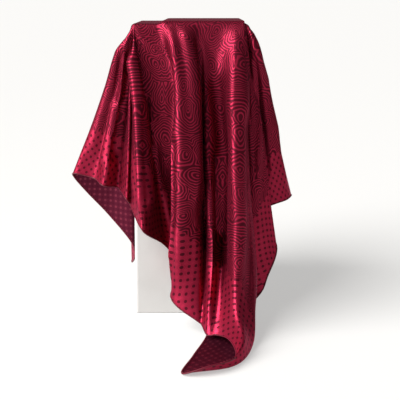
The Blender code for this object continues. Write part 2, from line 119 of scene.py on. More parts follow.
FRONT = (
    Fold("left_corner", -220, -307, -50, 4, -44, 10, -31, 12, 165, -19, 12, 90),
    Fold("left_hollow", -199, -290, -33, 7, -27, 16, -27, 20, 140, -16, 22, 74),
    Fold("centre_fold_edge", -175, -262, -22, 18, -14, 52, -19, 62, 130, -29, 62, 50),
    Fold("centre_fold_right", -134, -212, 11, 18, 14, 44, 16, 60, 110, 11, 88, 22),
    Fold("centre_valley", -127, -200, 16, 11, 19, 27, 22, 44, 105, 17, 90, 18),
    Fold("low_ridge", -116, -173, 23, 12, 29, 40, 32, 72, 95, 26, 115, 11),
    Fold("wide_valley", -98, -157, 38, 11, 48, 25, 46, 50, 92, 38, 118, 13),
    Fold("main_ridge", -74, -138, 66, 20, 65, 60, 64, 92, 90, 54, 136, 16),
    Fold("tip_turn", -66, -76, 77, 17, 84, 48, 87, 92, 60, 62, 198, 14),
    Fold("tip_rim", OUTER_EDGE - HALF_BEND, -38, 81, 15, 88, 43, 95, 90, 54, 28, 224, 15),
    Fold("tip_point", OUTER_EDGE + HALF_BEND, 0, 81, 10, 89, 36, 98, 80, 50, -8, 222, 3),
    Fold("tip_floor", -40, 60, 0, 0, 80, 19, 90, 50, 50, 6, 164, 2),
    Fold("tip_back", -10, 126, 0, 0, 48, 13, 66, 34, 60, 25, 101, 4),
    Fold("inner_edge_over", INNER_EDGE - HALF_BEND, 183, 0, 0, -14, 13, 0, 21, 60, 31, 45, 9),
    Fold("inner_edge_under", INNER_EDGE + HALF_BEND, 189, 0, 0, -14, 8, 0, 13, 60, 32, 34, 9),
    Fold("hidden_run", 108, 206, 0, 0, 42, 6, 65, 8, 60, 84, 12, 14),
    Fold("right_panel_ridge", 148, 228, 0, 0, 76, 11, 91, 19, 80, 110, 18, 40),
    Fold("right_corner", 177, 250, 80, 5, 92, 10, 105, 12, 165, 120, 13, 64),
)
RIGHT = (
    Fold("right_front", -50, -71, 0, 0, -58, 7, -43, 8, 0, -33, 10, 0),
    Fold("right_ridge_1", -28, -38, 0, 0, -36, 20, -28, 28, 0, -22, 32, 0),
    Fold("right_hollow_1", -8, -10, 0, 0, -12, 8, -8, 9, 0, -5, 12, 0),
    Fold("right_tip", 8, 0, 0, 0, 6, 20, 8, 26, 0, 8, 30, 0),
    Fold("right_hollow_2", 40, 52, 0, 0, 28, 7, 26, 9, 0, 26, 12, 0),
    Fold("right_ridge_2", 68, 96, 0, 0, 48, 22, 50, 32, 0, 52, 38, 0),
    Fold("right_back", 108, 153, 0, 0, 68, 7, 64, 9, 0, 60, 11, 0),
)
BACK = (
    Fold("back_right", 177, -250, 0, 0, -70, 4, -62, 5, 0, -58, 7, 0),
    Fold("back_run", 108, -149, 0, 0, -14, 6, -18, 8, 0, -22, 9, 0),
    Fold("back_inner_under", INNER_EDGE + HALF_BEND, -86, 0, 0, 31, 8, 27, 11, 0, 23, 14, 0),
    Fold("back_inner_over", INNER_EDGE - HALF_BEND, -80, 0, 0, 31, 15, 27, 19, 0, 23, 24, 4),
    Fold("back_hidden", 20, -28, 0, 0, -2, 15, -4, 19, 0, -6, 62, 3),
    Fold("back_tip", -10, 0, 0, 0, -30, 16, -28, 23, 0, -20, 92, 2),
    Fold("back_outer_under", OUTER_EDGE + HALF_BEND, 80, 0, 0, -77, 16, -71, 25, 0, -62, 40, 6),
    Fold("back_outer_over", OUTER_EDGE - HALF_BEND, 86, 0, 0, -77, 24, -71, 34, 0, -62, 50, 6),
    Fold("back_ridge_1", -92, 130, 0, 0, -46, 44, -42, 58, 0, -40, 64, 0),
    Fold("back_hollow_1", -120, 170, 0, 0, -24, 28, -20, 36, 0, -18, 40, 0),
    Fold("back_ridge_2", -150, 212, 0, 0, 6, 42, 8, 54, 0, 8, 60, 0),
    Fold("back_hollow_2", -186, 262, 0, 0, 38, 12, 36, 16, 0, 34, 18, 0),
    Fold("back_left", -220, 311, 0, 0, 68, 8, 64, 10, 0, 60, 12, 0),
)
LEFT = (
    Fold("left_back", 108, -153, 0, 0, -70, 7, -66, 8, 0, -64, 9, 0),
    Fold("left_ridge_1", 76, -107, 0, 0, -48, 18, -46, 24, 0, -44, 26, 0),
    Fold("left_hollow_1", 44, -62, 0, 0, -24, 6, -22, 7, 0, -22, 8, 0),
    Fold("left_tip", 0, 0, 0, 0, 4, 14, 2, 16, 0, 0, 16, 0),
    Fold("left_hollow_2", -22, 31, 0, 0, 30, 5, 32, 6, 0, 34, 7, 0),
    Fold("left_front", -50, 71, 0, 0, 62, 6, 56, 8, 0, 52, 9, 0),
)
TIP_ROLL = (
    Roll("main_ridge", 62, 108, 60, 58, 124, 36),
    Roll("tip_turn", 80, 124, 38, 75, 170, 26),
    Roll("tip_rim", 92, 136, 11, 66, 194, 4),
    Roll("tip_point", 80, 142, 2, 42, 200, 2),
    Roll("tip_floor", 62, 118, 2, 34, 146, 2),
    Roll("tip_back", 54, 66, 18, 40, 86, 8),
)
FRONT_RIGHT_FLARE = (
    Flare("panel_edge", 8, 134, -97),
    Flare("panel_valley", 28, 110, -80),
    Flare("crest_front", 43, 150, -76),
    Flare("crest_back", 53, 157, -52),
    Flare("far_valley", 66, 110, -60),
    Flare("far_crest", 79, 120, -34),
)
RIGHT_BACK_FLARE = (
    Flare("crest_1", 13, 150, 66),
    Flare("valley_1", 26, 106, 86),
    Flare("crest_2", 40, 150, 118),
    Flare("valley_2", 55, 106, 102),
    Flare("crest_3", 70, 120, 160),
    Flare("valley_3", 83, 76, 98),
)
BACK_LEFT_FLARE = (
    Flare("crest_1", 13, -62, 164),
    Flare("valley_1", 28, -88, 108),
    Flare("crest_2", 46, -138, 150),
    Flare("valley_2", 63, -106, 98),
    Flare("crest_3", 77, -158, 76),
)
LEFT_FRONT_FLARE = (
    Flare("far_hem_1", 8, -131, -38),
    Flare("far_hem_2", 17, -165, -40),
    Flare("crest_back", 25, -183, -45),
    Flare("crest_front", 35, -180, -60),
    Flare("face", 43, -150, -64),
    Flare("small_ridge", 52, -132, -88),
    Flare("dark_valley", 58, -113, -68),
    Flare("corner_ridge", 65, -97, -100),
    Flare("corner_valley", 70, -92, -92),
    Flare("front_ridge", 81, -68, -156),
    Flare("front_valley", 88.6, -37, -96),
)
CREASES = (
    Crease("left_ridge", -226, -72, -239, -215, -262, -350, 12, 11),
    Crease("left_flank", -256, -90, -264, -200, -290, -340, 10, -5),
    Crease("left_trough", -192, -130, -196, -260, -204, -400, 12, -5),
    Crease("centre_fold_left", -171, -50, -175, -240, -177, -440, 8, 11),
    Crease("centre_fold_body", -148, -48, -152, -170, -156, -330, 14, 9),
    Crease("centre_fold_right", -131, -66, -134, -184, -139, -380, 6, -6),
    Crease("centre_ridge", -119, -130, -120, -300, -124, -450, 8, 4),
    Crease("notch", -132, -50, -121, -77, -98, -130, 5, -1.5),
    Crease("wide_trough", -102, -128, -102, -250, -108, -450, 13, -7),
    Crease("main_ridge", -80, -60, -76, -250, -92, -460, 12, 7),
    Crease("upper_plane", -58, -54, -62, -110, -68, -210, 17, 7),
    Crease("panel_ridge", 226, -100, 191, -267, 184, -416, 8, 4),
    Crease("flare_band", -244, -68, -322, -128, -405, -195, 12, 6),
    Crease("flare_trough", -250, -84, -302, -165, -353, -235, 11, -12),
    Crease("flare_ridge", -306, -138, -343, -180, -384, -222, 7, 5),
    Crease("corner_ridge", -246, -100, -272, -180, -301, -302, 7, 4),
    Crease("right_shoulder", 152, -28, 226, -94, 336, -194, 26, 5),
    Crease("corner_fill", -230, -76, -271, -190, -310, -300, 10, 5),
    Crease("edge_trough", 183, -64, 173, -172, 165, -290, 8, -6),
    Crease("right_flare_ridge", 230, -92, 305, -172, 371, -243, 9, 3),
    Crease("right_flare_trough", 206, -84, 262, -168, 321, -260, 7, -4),
)


# ---------------------------------------------------------------- the drape

@dataclass(frozen=True)
class Layout:
    """Sizes of the plinth and of the scarf on it, in metres unless a name says otherwise.

    The four places left, right, front and back are where the plinth's edges lie in the flat cloth.
    """

    stand_height: float = 450 * MM
    stand_half: float = 84 * MM
    foot_half: float = 88 * MM
    rounding: float = 5 * MM
    side: float = 900 * MM
    low_gap: float = 0.95 * MM
    side_gap: float = 2.4 * MM
    side_gap_drop: float = 40 * MM
    take_up: float = 0.96
    left_mm: float = -220
    right_mm: float = 177
    front_mm: float = -50
    back_mm: float = 108
    loop_half: float = 79 * MM
    step_start_mm: float = -48
    step_run_mm: float = 12
    edge_turn: float = math.radians(72)
    knot_shares: tuple[float, float, float] = (0.42, 0.74, 1.0)
    near_share: float = 0.24
    flare_spread: float = 0.7
    shoulder: float = 17 * MM
    shoulder_share: float = 0.3
    reach_limit: float = 1.2

    @property
    def half_diagonal(self) -> float:
        """From the scarf's centre to a corner."""
        return self.side / math.sqrt(2)


def turned(x: float, y: float, quarters: int) -> tuple[float, float]:
    """A plan place turned by quarter turns, anticlockwise from above.

    Args:
        x: Its place across.
        y: Its place along.
        quarters: How many quarter turns.

    Returns:
        The turned place.
    """
    for _ in range(quarters % 4):
        x, y = -y, x
    return x, y


def marks_along(points: np.ndarray) -> np.ndarray:
    """The distance along a run of points, at each of them."""
    return np.concatenate([[0.0], np.cumsum(np.linalg.norm(np.diff(points, axis=0), axis=1))])


class Curve:
    """A smooth curve through knots: cubic pieces with slopes from the neighbours."""

    def __init__(self, values: np.ndarray, marks: np.ndarray, reach_limit: Optional[float] = None,
                 first_slope: Optional[np.ndarray] = None) -> None:
        """Works out the slopes.

        Args:
            values: One value for each knot, or a closed curve's values without the repeat at its end.
            marks: The knots' places along the curve, with one more than values on a closed curve.
            reach_limit: How far a slope may reach on a closed curve, as a share of each gap.
            first_slope: The slope at the start of an open curve, if it is known.
        """
        self.values = values
        self.marks = marks
        self.closed = len(marks) > len(values)
        self.limit = reach_limit
        gaps = np.diff(marks)
        gaps = gaps.reshape(-1, *[1] * (values.ndim - 1))
        if self.closed:
            rises = (np.roll(values, -1, axis=0) - values) / gaps
            before, after = np.roll(gaps, 1, axis=0), gaps
            rise_before, rise_after = np.roll(rises, 1, axis=0), rises
            self.slopes = (rise_before * after + rise_after * before) / (before + after)
        else:
            rises = np.diff(values, axis=0) / gaps
            inner = (rises[:-1] * gaps[1:] + rises[1:] * gaps[:-1]) / (gaps[:-1] + gaps[1:])
            start = rises[:1] if first_slope is None else first_slope[None]
            self.slopes = np.concatenate([start, inner, rises[-1:]])

    def at(self, place: float) -> np.ndarray:
        """The curve's value at one place along it.

        Args:
            place: The place, on the scale of the knots' marks.

        Returns:
            The value, of the same shape as a knot's.
        """
        i = int(np.clip(np.searchsorted(self.marks, place, side="right") - 1, 0, len(self.marks) - 2))
        gap = self.marks[i + 1] - self.marks[i]
        s = (place - self.marks[i]) / gap
        n = len(self.values)
        a, b = self.values[i % n], self.values[(i + 1) % n]
        reach_a, reach_b = self.slopes[i % n] * gap, self.slopes[(i + 1) % n] * gap
        if self.limit is not None:
            chord = np.linalg.norm(b - a, axis=-1, keepdims=True)
            reach_a, reach_b = self.held_in(reach_a, chord), self.held_in(reach_b, chord)
        return (a * (1 + 2 * s) * (1 - s) ** 2 + reach_a * s * (1 - s) ** 2
                + b * s * s * (3 - 2 * s) + reach_b * s * s * (s - 1))

    def held_in(self, reach: np.ndarray, chord: np.ndarray) -> np.ndarray:
        """A slope's reach made no longer than its gap allows, so that the curve cannot loop."""
        size = np.linalg.norm(reach, axis=-1, keepdims=True)
        return reach * np.minimum(1.0, self.limit * chord / np.maximum(size, 1e-9))


class Generator:
    """One line of cloth, from the loop round the plinth's top down to the hem."""

    def __init__(self, drape: "Drape", name: str, cloth: Sequence[float], hem: Sequence[float],
                 outward: np.ndarray) -> None:
        """Places the line in the flat cloth.

        Args:
            drape: The drape that the line belongs to.
            name: The row's name.
            cloth: Where the line starts in the flat cloth, in mm.
            hem: Where it ends in the flat cloth, in metres.
            outward: The level direction in which it leaves the plinth's top.
        """
        self.drape = drape
        self.name = name
        self.cloth = np.array(cloth) * MM
        self.hem = np.array(hem)
        self.top = drape.on_top(self.cloth)
        self.outward = outward / np.hypot(*outward)
        self.length = float(np.hypot(*(self.hem - self.cloth)))
        self.knots = np.empty((0, 3))

    def hang(self, plan: Sequence[Sequence[float]], heights: Sequence[Optional[float]],
             roll: Optional[np.ndarray] = None, near: Optional[np.ndarray] = None,
             spread: float = 1.0) -> None:
        """Lays out the knots: each lies as low as its share of the cloth allows, or at its own height.

        Args:
            plan: The plan places of the middle, low and end knots.
            heights: Their heights, None or 0 where the cloth's length gives it.
            roll: Two more knots on the floor, before the end.
            near: The plan place close under the edge, if it isn't on the way down.
            spread: How far the first knot is drawn to the near place.
        """
        layout = self.drape.layout
        knots = [self.drape.edge_point(self.top, self.outward, layout.edge_turn)]
        used = self.drape.edge_radius(self.top) * layout.edge_turn
        for (x, y), height, share in zip(plan, heights, layout.knot_shares):
            run = self.length * share * layout.take_up - used
            used = self.length * share * layout.take_up
            across = math.hypot(x - knots[-1][0], y - knots[-1][1])
            z = height or knots[-1][2] - math.sqrt(max(run * run - across * across, 0.0))
            knots.append(np.array([x, y, z]))
        if roll is None:
            marks = marks_along(np.array(knots))
            curve = Curve(np.array(knots), marks)
            roll = [curve.at(marks[2] + (marks[3] - marks[2]) * share) for share in (1 / 3, 2 / 3)]
        knots[3:3] = list(roll)
        first = knots[0] + (knots[1] - knots[0]) * layout.near_share
        if near is not None:
            first[:2] += (near - first[:2]) * spread
        knots.insert(1, first)
        self.knots = np.array(knots)


class Drape:
    """The scarf's middle surface: columns of points along generators, between the rows of the tables."""

    edge_rings = 4
    least_step = 0.2 * MM

    def __init__(self, layout: Layout, hem_step: float, rings: int) -> None:
        """Works out every column.

        Args:
            layout: The sizes.
            hem_step: How far apart the columns stand along the hem.
            rings: How many rings of points the hanging cloth has.
        """
        self.layout = layout
        self.shares = np.linspace(0.0, 1.0, rings + 1)[1:]
        self.rows = self.all_rows()
        gaps = [float(np.hypot(*(b.hem - a.hem))) for a, b in self.pairs()]
        self.marks = np.concatenate([[0.0], np.cumsum(np.sqrt(gaps))])
        self.knots = Curve(np.array([r.knots for r in self.rows]), self.marks, layout.reach_limit)
        self.columns: list[tuple[np.ndarray, np.ndarray]] = []
        for i, (a, b) in enumerate(self.pairs()):
            for share in self.shares_between(a, b, gaps[i] / hem_step):
                self.columns.append(self.column(i, share))

    # The top

    def turn_places(self, edge: float) -> list[float]:
        """The places across the cloth, in mm, that divide the turn at one edge of the wide fold."""
        return [edge + share * HALF_BEND for share in (-1.0, -0.66, -0.33, 0.0, 0.33, 0.66, 1.0)]

    def step_places(self) -> list[float]:
        """The places across the cloth, in mm, that divide its rise on to the folded layers."""
        return [-188.0, -186.0, -184.0, -182.0, -180.0, -178.5, -177.0]

    def top_profile(self, cloth_mm: float) -> tuple[float, float]:
        """Where a place across the cloth lies on the plinth's top.

        Args:
            cloth_mm: The place across the flat cloth, in mm.

        Returns:
            Its x and its height, through the layers of the wide fold.
        """
        layout = self.layout
        low = layout.stand_height + layout.low_gap
        pitch = LAYER_PITCH * MM
        turn = 2 * HALF_BEND * MM
        right = layout.loop_half
        cloth, outer, inner = cloth_mm * MM, OUTER_EDGE * MM, INNER_EDGE * MM
        if cloth <= outer - turn / 2:
            x = cloth - (outer - turn / 2) + right
            step = min(1.0, max(0.0, (x / MM - layout.step_start_mm) / layout.step_run_mm))
            return x, low + 2 * pitch * step * step * (3 - 2 * step)
        if cloth < outer + turn / 2:
            angle = math.pi * (cloth - outer + turn / 2) / turn
            return right + pitch / 2 * math.sin(angle), low + pitch * (1.5 + math.cos(angle) / 2)
        inner_x = right - (inner - outer - turn)
        if cloth <= inner - turn / 2:
            return right - (cloth - outer - turn / 2), low + pitch
        if cloth < inner + turn / 2:
            angle = math.pi * (cloth - inner + turn / 2) / turn
            return inner_x - pitch / 2 * math.sin(angle), low + pitch * (0.5 + math.cos(angle) / 2)
        return inner_x + (cloth - inner - turn / 2), low

    def on_top(self, cloth: np.ndarray) -> np.ndarray:
        """The point of the plinth's top where a place of the cloth lies."""
        x, z = self.top_profile(cloth[0] / MM)
        return np.array([x, cloth[1] - (self.layout.front_mm + self.layout.back_mm) / 2 * MM, z])

    def edge_radius(self, top: np.ndarray) -> float:
        """The radius on which the cloth turns over the plinth's edge: larger for an upper layer."""
        return self.layout.rounding + top[2] - self.layout.stand_height

    def edge_point(self, top: np.ndarray, outward: np.ndarray, angle: float) -> np.ndarray:
        """A point of the turn over the plinth's edge, from 0 on top to a right angle on the face.

        Args:
            top: Where the turn starts.
            outward: The level direction in which it goes.
            angle: How far round the turn.

        Returns:
            The point.
        """
        radius = self.edge_radius(top)
        out = outward * radius * math.sin(angle)
        return np.array([top[0] + out[0], top[1] + out[1], top[2] - radius * (1 - math.cos(angle))])

    # The rows

    def side_rows(self, side: int, folds: Sequence[Fold]) -> list[Generator]:
        """The generators of one side.

        Args:
            side: 0 for the front, then right, back and left.
            folds: The side's table.

        Returns:
            One generator for each fold.
        """
        layout = self.layout
        edge = (layout.front_mm, layout.right_mm, layout.back_mm, layout.left_mm)[side]
        half = layout.stand_half
        mid_share, low_share, _ = layout.knot_shares
        rolls = {
            r.name: np.array([[r.along * MM, -half - r.out * MM, r.height * MM],
                              [r.fore * MM, -half - r.fore_out * MM, r.fore_height * MM]])
            for r in TIP_ROLL
        }
        outward = np.array(turned(0, -1, side))
        made = []
        for f in folds:
            cloth = (f.cloth, edge) if side % 2 == 0 else (edge, f.cloth)
            reach = layout.half_diagonal - abs(f.hem * MM) / math.sqrt(2)
            row = Generator(self, f.name, cloth, turned(f.hem * MM / math.sqrt(2), -reach, side), outward)
            plan = [turned(along * MM, -(half + out * MM), side)
                    for along, out in ((f.mid, f.mid_out), (f.low, f.low_out), (f.end, f.end_out))]
            fall = (layout.stand_height - f.low_z * MM) * mid_share / low_share
            middle = layout.stand_height - fall if f.low_z else None
            near = np.array(turned(f.near * MM, -(half + f.near_out * MM), side)) if f.near_out else None
            row.hang(plan, (middle, f.low_z * MM, f.end_z * MM), rolls.get(f.name), near)
            made.append(row)
        for corner in (made[0], made[-1]):
            if corner.name not in ("left_corner", "right_corner"):
                corner.knots[1][:2] = corner.knots[0][:2] + corner.outward * layout.side_gap
        return made

    def flare_rows(self, corner: int, flares: Sequence[Flare]) -> list[Generator]:
        """The generators of one flare, which fan out from a corner of the plinth's top.

        Args:
            corner: 0 for the front right, then anticlockwise.
            flares: The flare's table.

        Returns:
            One generator for each row.
        """
        layout = self.layout
        x_edge = layout.right_mm if corner in (0, 1) else layout.left_mm
        y_edge = layout.front_mm if corner in (0, 3) else layout.back_mm
        top = self.on_top(np.array([x_edge, y_edge]) * MM)
        start = top[:2]
        made = []
        for f in flares:
            angle = math.radians(90 * corner - 90 + f.turn)
            outward = np.array([math.cos(angle), math.sin(angle)])
            x, y = x_edge * MM, y_edge * MM
            run = ((layout.half_diagonal - abs(x) - abs(y))
                   / (outward[0] * math.copysign(1, x) + outward[1] * math.copysign(1, y)))
            hem = (x + outward[0] * run, y + outward[1] * run)
            row = Generator(self, f.name, (x_edge, y_edge), hem, outward)
            foot = start + outward * layout.rounding
            swing = np.array([f.end_x, f.end_y]) * MM - foot
            reach = min(layout.shoulder, layout.shoulder_share * math.hypot(*swing))
            near = start + outward * (reach * math.sin(2 * math.radians(f.turn)) + self.edge_radius(top))
            plan = [foot + swing * share for share in layout.knot_shares]
            row.hang(plan, (None,) * 3, None, near, layout.flare_spread)
            made.append(row)
        return made

    def all_rows(self) -> list[Generator]:
        """Every generator, anticlockwise from the front's left corner.

        Returns:
            The generators of all sides and flares.
        """
        rows: list[Generator] = []
        flares = (FRONT_RIGHT_FLARE, RIGHT_BACK_FLARE, BACK_LEFT_FLARE, LEFT_FRONT_FLARE)
        for side, folds in enumerate((FRONT, RIGHT, BACK, LEFT)):
            rows += self.side_rows(side, folds)
            rows += self.flare_rows(side, flares[side])
        return rows

    def pairs(self) -> list[tuple[Generator, Generator]]:
        """Each row with the next one round."""
        return list(zip(self.rows, self.rows[1:] + self.rows[:1]))

    # The columns

    def shares_between(self, a: Generator, b: Generator, steps: float) -> list[float]:
        """Where columns stand between two rows: evenly, and at each place where the cloth turns or steps.

        Args:
            a: The first row.
            b: The next row.
            steps: How many steps fit between them.

        Returns:
            The columns' places, each a share of the way, from 0.
        """
        count = max(1, math.ceil(steps))
        shares = [j / count for j in range(count)]
        span = b.cloth[0] - a.cloth[0]
        if abs(span) > 1e-9 and a.cloth[1] == b.cloth[1]:
            turns = self.turn_places(OUTER_EDGE) + self.turn_places(INNER_EDGE)
            steps_up = self.step_places()
            places = [(place * MM - a.cloth[0]) / span for place in turns + [steps_up[0], steps_up[-1]]]
            near = self.least_step / abs(span)
            places = [s for s in places if near < s < 1.0 - near]
            shares = [s for s in shares if s == 0.0 or all(abs(s - q) > near for q in places)] + places
        return sorted(shares)

    def clear_of_plinth(self, points: np.ndarray) -> np.ndarray:
        """The points moved level, clear of the plinth's tapered sides, and up, clear of the floor.

        Args:
            points: The points, one a row.

        Returns:
            The moved points.
        """
        layout = self.layout
        moved = points.copy()
        for p in moved:
            p[2] = max(p[2], layout.low_gap)
            drop = layout.stand_height - p[2]
            taper = (layout.foot_half - layout.stand_half) * drop / layout.stand_height
            past = np.abs(p[:2]) - (layout.stand_half + taper - layout.rounding)
            if min(past) > 0:
                away = past / np.hypot(*past)
                gap = np.hypot(*past) - layout.rounding
            else:
                away = np.array([1.0, 0.0]) if past[0] > past[1] else np.array([0.0, 1.0])
                gap = max(past) - layout.rounding
            opening = min(1.0, drop / layout.side_gap_drop)
            need = layout.low_gap + (layout.side_gap - layout.low_gap) * opening
            if gap < need:
                p[:2] += np.where(p[:2] < 0, -away, away) * (need - gap)
        return moved

    def column(self, i: int, share: float) -> tuple[np.ndarray, np.ndarray]:
        """One column, a share of the way from row i to the next.

        Args:
            i: The row's number.
            share: How far to the next row, from 0 to 1.

        Returns:
            The column's points, and their places in the flat cloth.
        """
        layout = self.layout
        a, b = self.pairs()[i]
        at = self.marks[i] + (self.marks[i + 1] - self.marks[i]) * share
        cloth = a.cloth + (b.cloth - a.cloth) * share
        hem = a.hem + (b.hem - a.hem) * share
        hem = hem * layout.half_diagonal / abs(hem).sum()
        top = self.on_top(cloth)
        outward = a.outward + (b.outward - a.outward) * share
        outward = outward / np.hypot(*outward)
        turn = layout.edge_turn
        knots = self.knots.at(at)
        knots[0] = self.edge_point(top, outward, turn)
        marks = marks_along(knots)
        down = np.array([*(outward * math.cos(turn)), -math.sin(turn)])
        curve = Curve(knots, marks, None, down)
        rings = self.edge_rings
        points = [self.edge_point(top, outward, turn * k / rings) for k in range(rings + 1)]
        hanging = np.array([curve.at(s * marks[-1]) for s in self.shares])
        turn_length = self.edge_radius(top) * turn
        whole = turn_length + marks[-1]
        places = [turn_length * k / rings / whole for k in range(rings + 1)]
        places += [(turn_length + s * marks[-1]) / whole for s in self.shares]
        points = np.concatenate([points, self.clear_of_plinth(hanging)])
        return points, np.array([cloth + (hem - cloth) * p for p in places])


class Surface:
    """The drape as one mesh: its vertices, their places in the flat cloth, and its faces."""

    top_rows = 26
    top_step = 7 * MM
    fold_margin_mm = 3
    merge_mm = 1e-4
    key_digits = 3

    def __init__(self, drape: Drape) -> None:
        """Joins the drape's columns and fills the part that lies on the plinth.

        Args:
            drape: The drape.
        """
        self.drape = drape
        self.vertices: list[np.ndarray] = []
        self.cloth: list[np.ndarray] = []
        self.faces: list[list[int]] = []
        self.index: dict[tuple[float, float], int] = {}
        rings = [[self.vertex(p, c) for p, c in zip(*column)] for column in drape.columns]
        for left, right in zip(rings, rings[1:] + rings[:1]):
            for k in range(len(left) - 1):
                corners = [left[k], left[k + 1], right[k + 1], right[k]]
                self.faces.append([c for n, c in enumerate(corners) if c not in corners[:n]])
        self.hem = [ring[-1] for ring in rings]
        self.inside_hem = [ring[-2] for ring in rings]
        loop: list[int] = []
        for ring in rings:
            if ring[0] not in loop:
                loop.append(ring[0])
        self.fill_top(loop)

    def key(self, x_mm: float, y_mm: float) -> tuple[float, float]:
        """A place of the flat cloth, rounded so that it finds its vertex."""
        return round(float(x_mm), self.key_digits), round(float(y_mm), self.key_digits)

    def vertex(self, point: np.ndarray, place: np.ndarray) -> int:
        """The number of the vertex at a place of the cloth, added if it is new.

        Args:
            point: Where it lies.
            place: Its place in the flat cloth.

        Returns:
            The vertex's number.
        """
        key = self.key(*(place / MM))
        if key not in self.index:
            self.index[key] = len(self.vertices)
            self.vertices.append(point)
            self.cloth.append(place)
        return self.index[key]

    def fill_top(self, loop: list[int]) -> None:
        """Fills the loop with triangles through points in rows, with the folds kept as edges.

        Args:
            loop: The vertices round the plinth's top.
        """
        drape, layout = self.drape, self.drape.layout
        folds = drape.turn_places(OUTER_EDGE) + drape.turn_places(INNER_EDGE) + drape.step_places()
        across = sorted(folds)
        at = layout.left_mm * MM + self.top_step
        while at < layout.right_mm * MM - self.top_step / 2:
            if all(abs(at / MM - place) > self.fold_margin_mm for place in folds):
                across.append(at / MM)
            at += self.top_step
        rows = np.linspace(layout.front_mm, layout.back_mm, self.top_rows + 2)[1:-1]
        edges = list(zip(loop, loop[1:] + loop[:1]))
        for place in across:
            cloth = [np.array([place, row]) * MM for row in rows]
            inside = [self.vertex(drape.on_top(c), c) for c in cloth]
            ends = [self.index.get(self.key(place, y)) for y in (layout.front_mm, layout.back_mm)]
            run = [n for n in (ends[0], *inside, ends[1]) if n is not None]
            edges += list(zip(run, run[1:]))
        used = sorted({n for edge in edges for n in edge})
        local = {n: k for k, n in enumerate(used)}
        flat = [Vector(self.cloth[n] / MM) for n in used]
        pairs = [(local[a], local[b]) for a, b in edges]
        _, _, triangles, sources, _, _ = delaunay_2d_cdt(flat, pairs, [], 0, self.merge_mm)
        for triangle in triangles:
            self.faces.append([used[sources[n][0]] for n in triangle])


# ---------------------------------------------------------------- helpers for Blender

def deselect_all() -> None:
    """Leaves nothing selected, because an operator acts on all that is."""
    for obj in bpy.context.selected_objects:
        obj.select_set(False)


def pick(obj: bpy.types.Object) -> None:
    """Selects one object alone and makes it active.

    Args:
        obj: The object.
    """
    deselect_all()
    obj.select_set(True)
    bpy.context.view_layer.objects.active = obj


def apply_modifier(obj: bpy.types.Object, name: str) -> None:
    """Applies one modifier of an object."""
    pick(obj)
    bpy.ops.object.modifier_apply(modifier=name)


def new_piece(name: str, vertices: Sequence[Sequence[float]], edges: Sequence[Sequence[int]],
              faces: Sequence[Sequence[int]]) -> bpy.types.Object:
    """A mesh object at the origin.

    Args:
        name: The piece's name.
        vertices: Its points, in metres.
        edges: Its loose edges.
        faces: Its faces.

    Returns:
        The object, linked to the scene.
    """
    mesh = bpy.data.meshes.new(name)
    points = [tuple(map(float, v)) for v in vertices]
    mesh.from_pydata(points, list(edges), [list(f) for f in faces if len(f) > 2])
    mesh.update()
    obj = bpy.data.objects.new(name, mesh)
    bpy.context.scene.collection.objects.link(obj)
    return obj


class Bump(NamedTuple):
    """How strongly a relief shows, from 0 to 1, and its height in metres."""

    strength: float
    distance: float


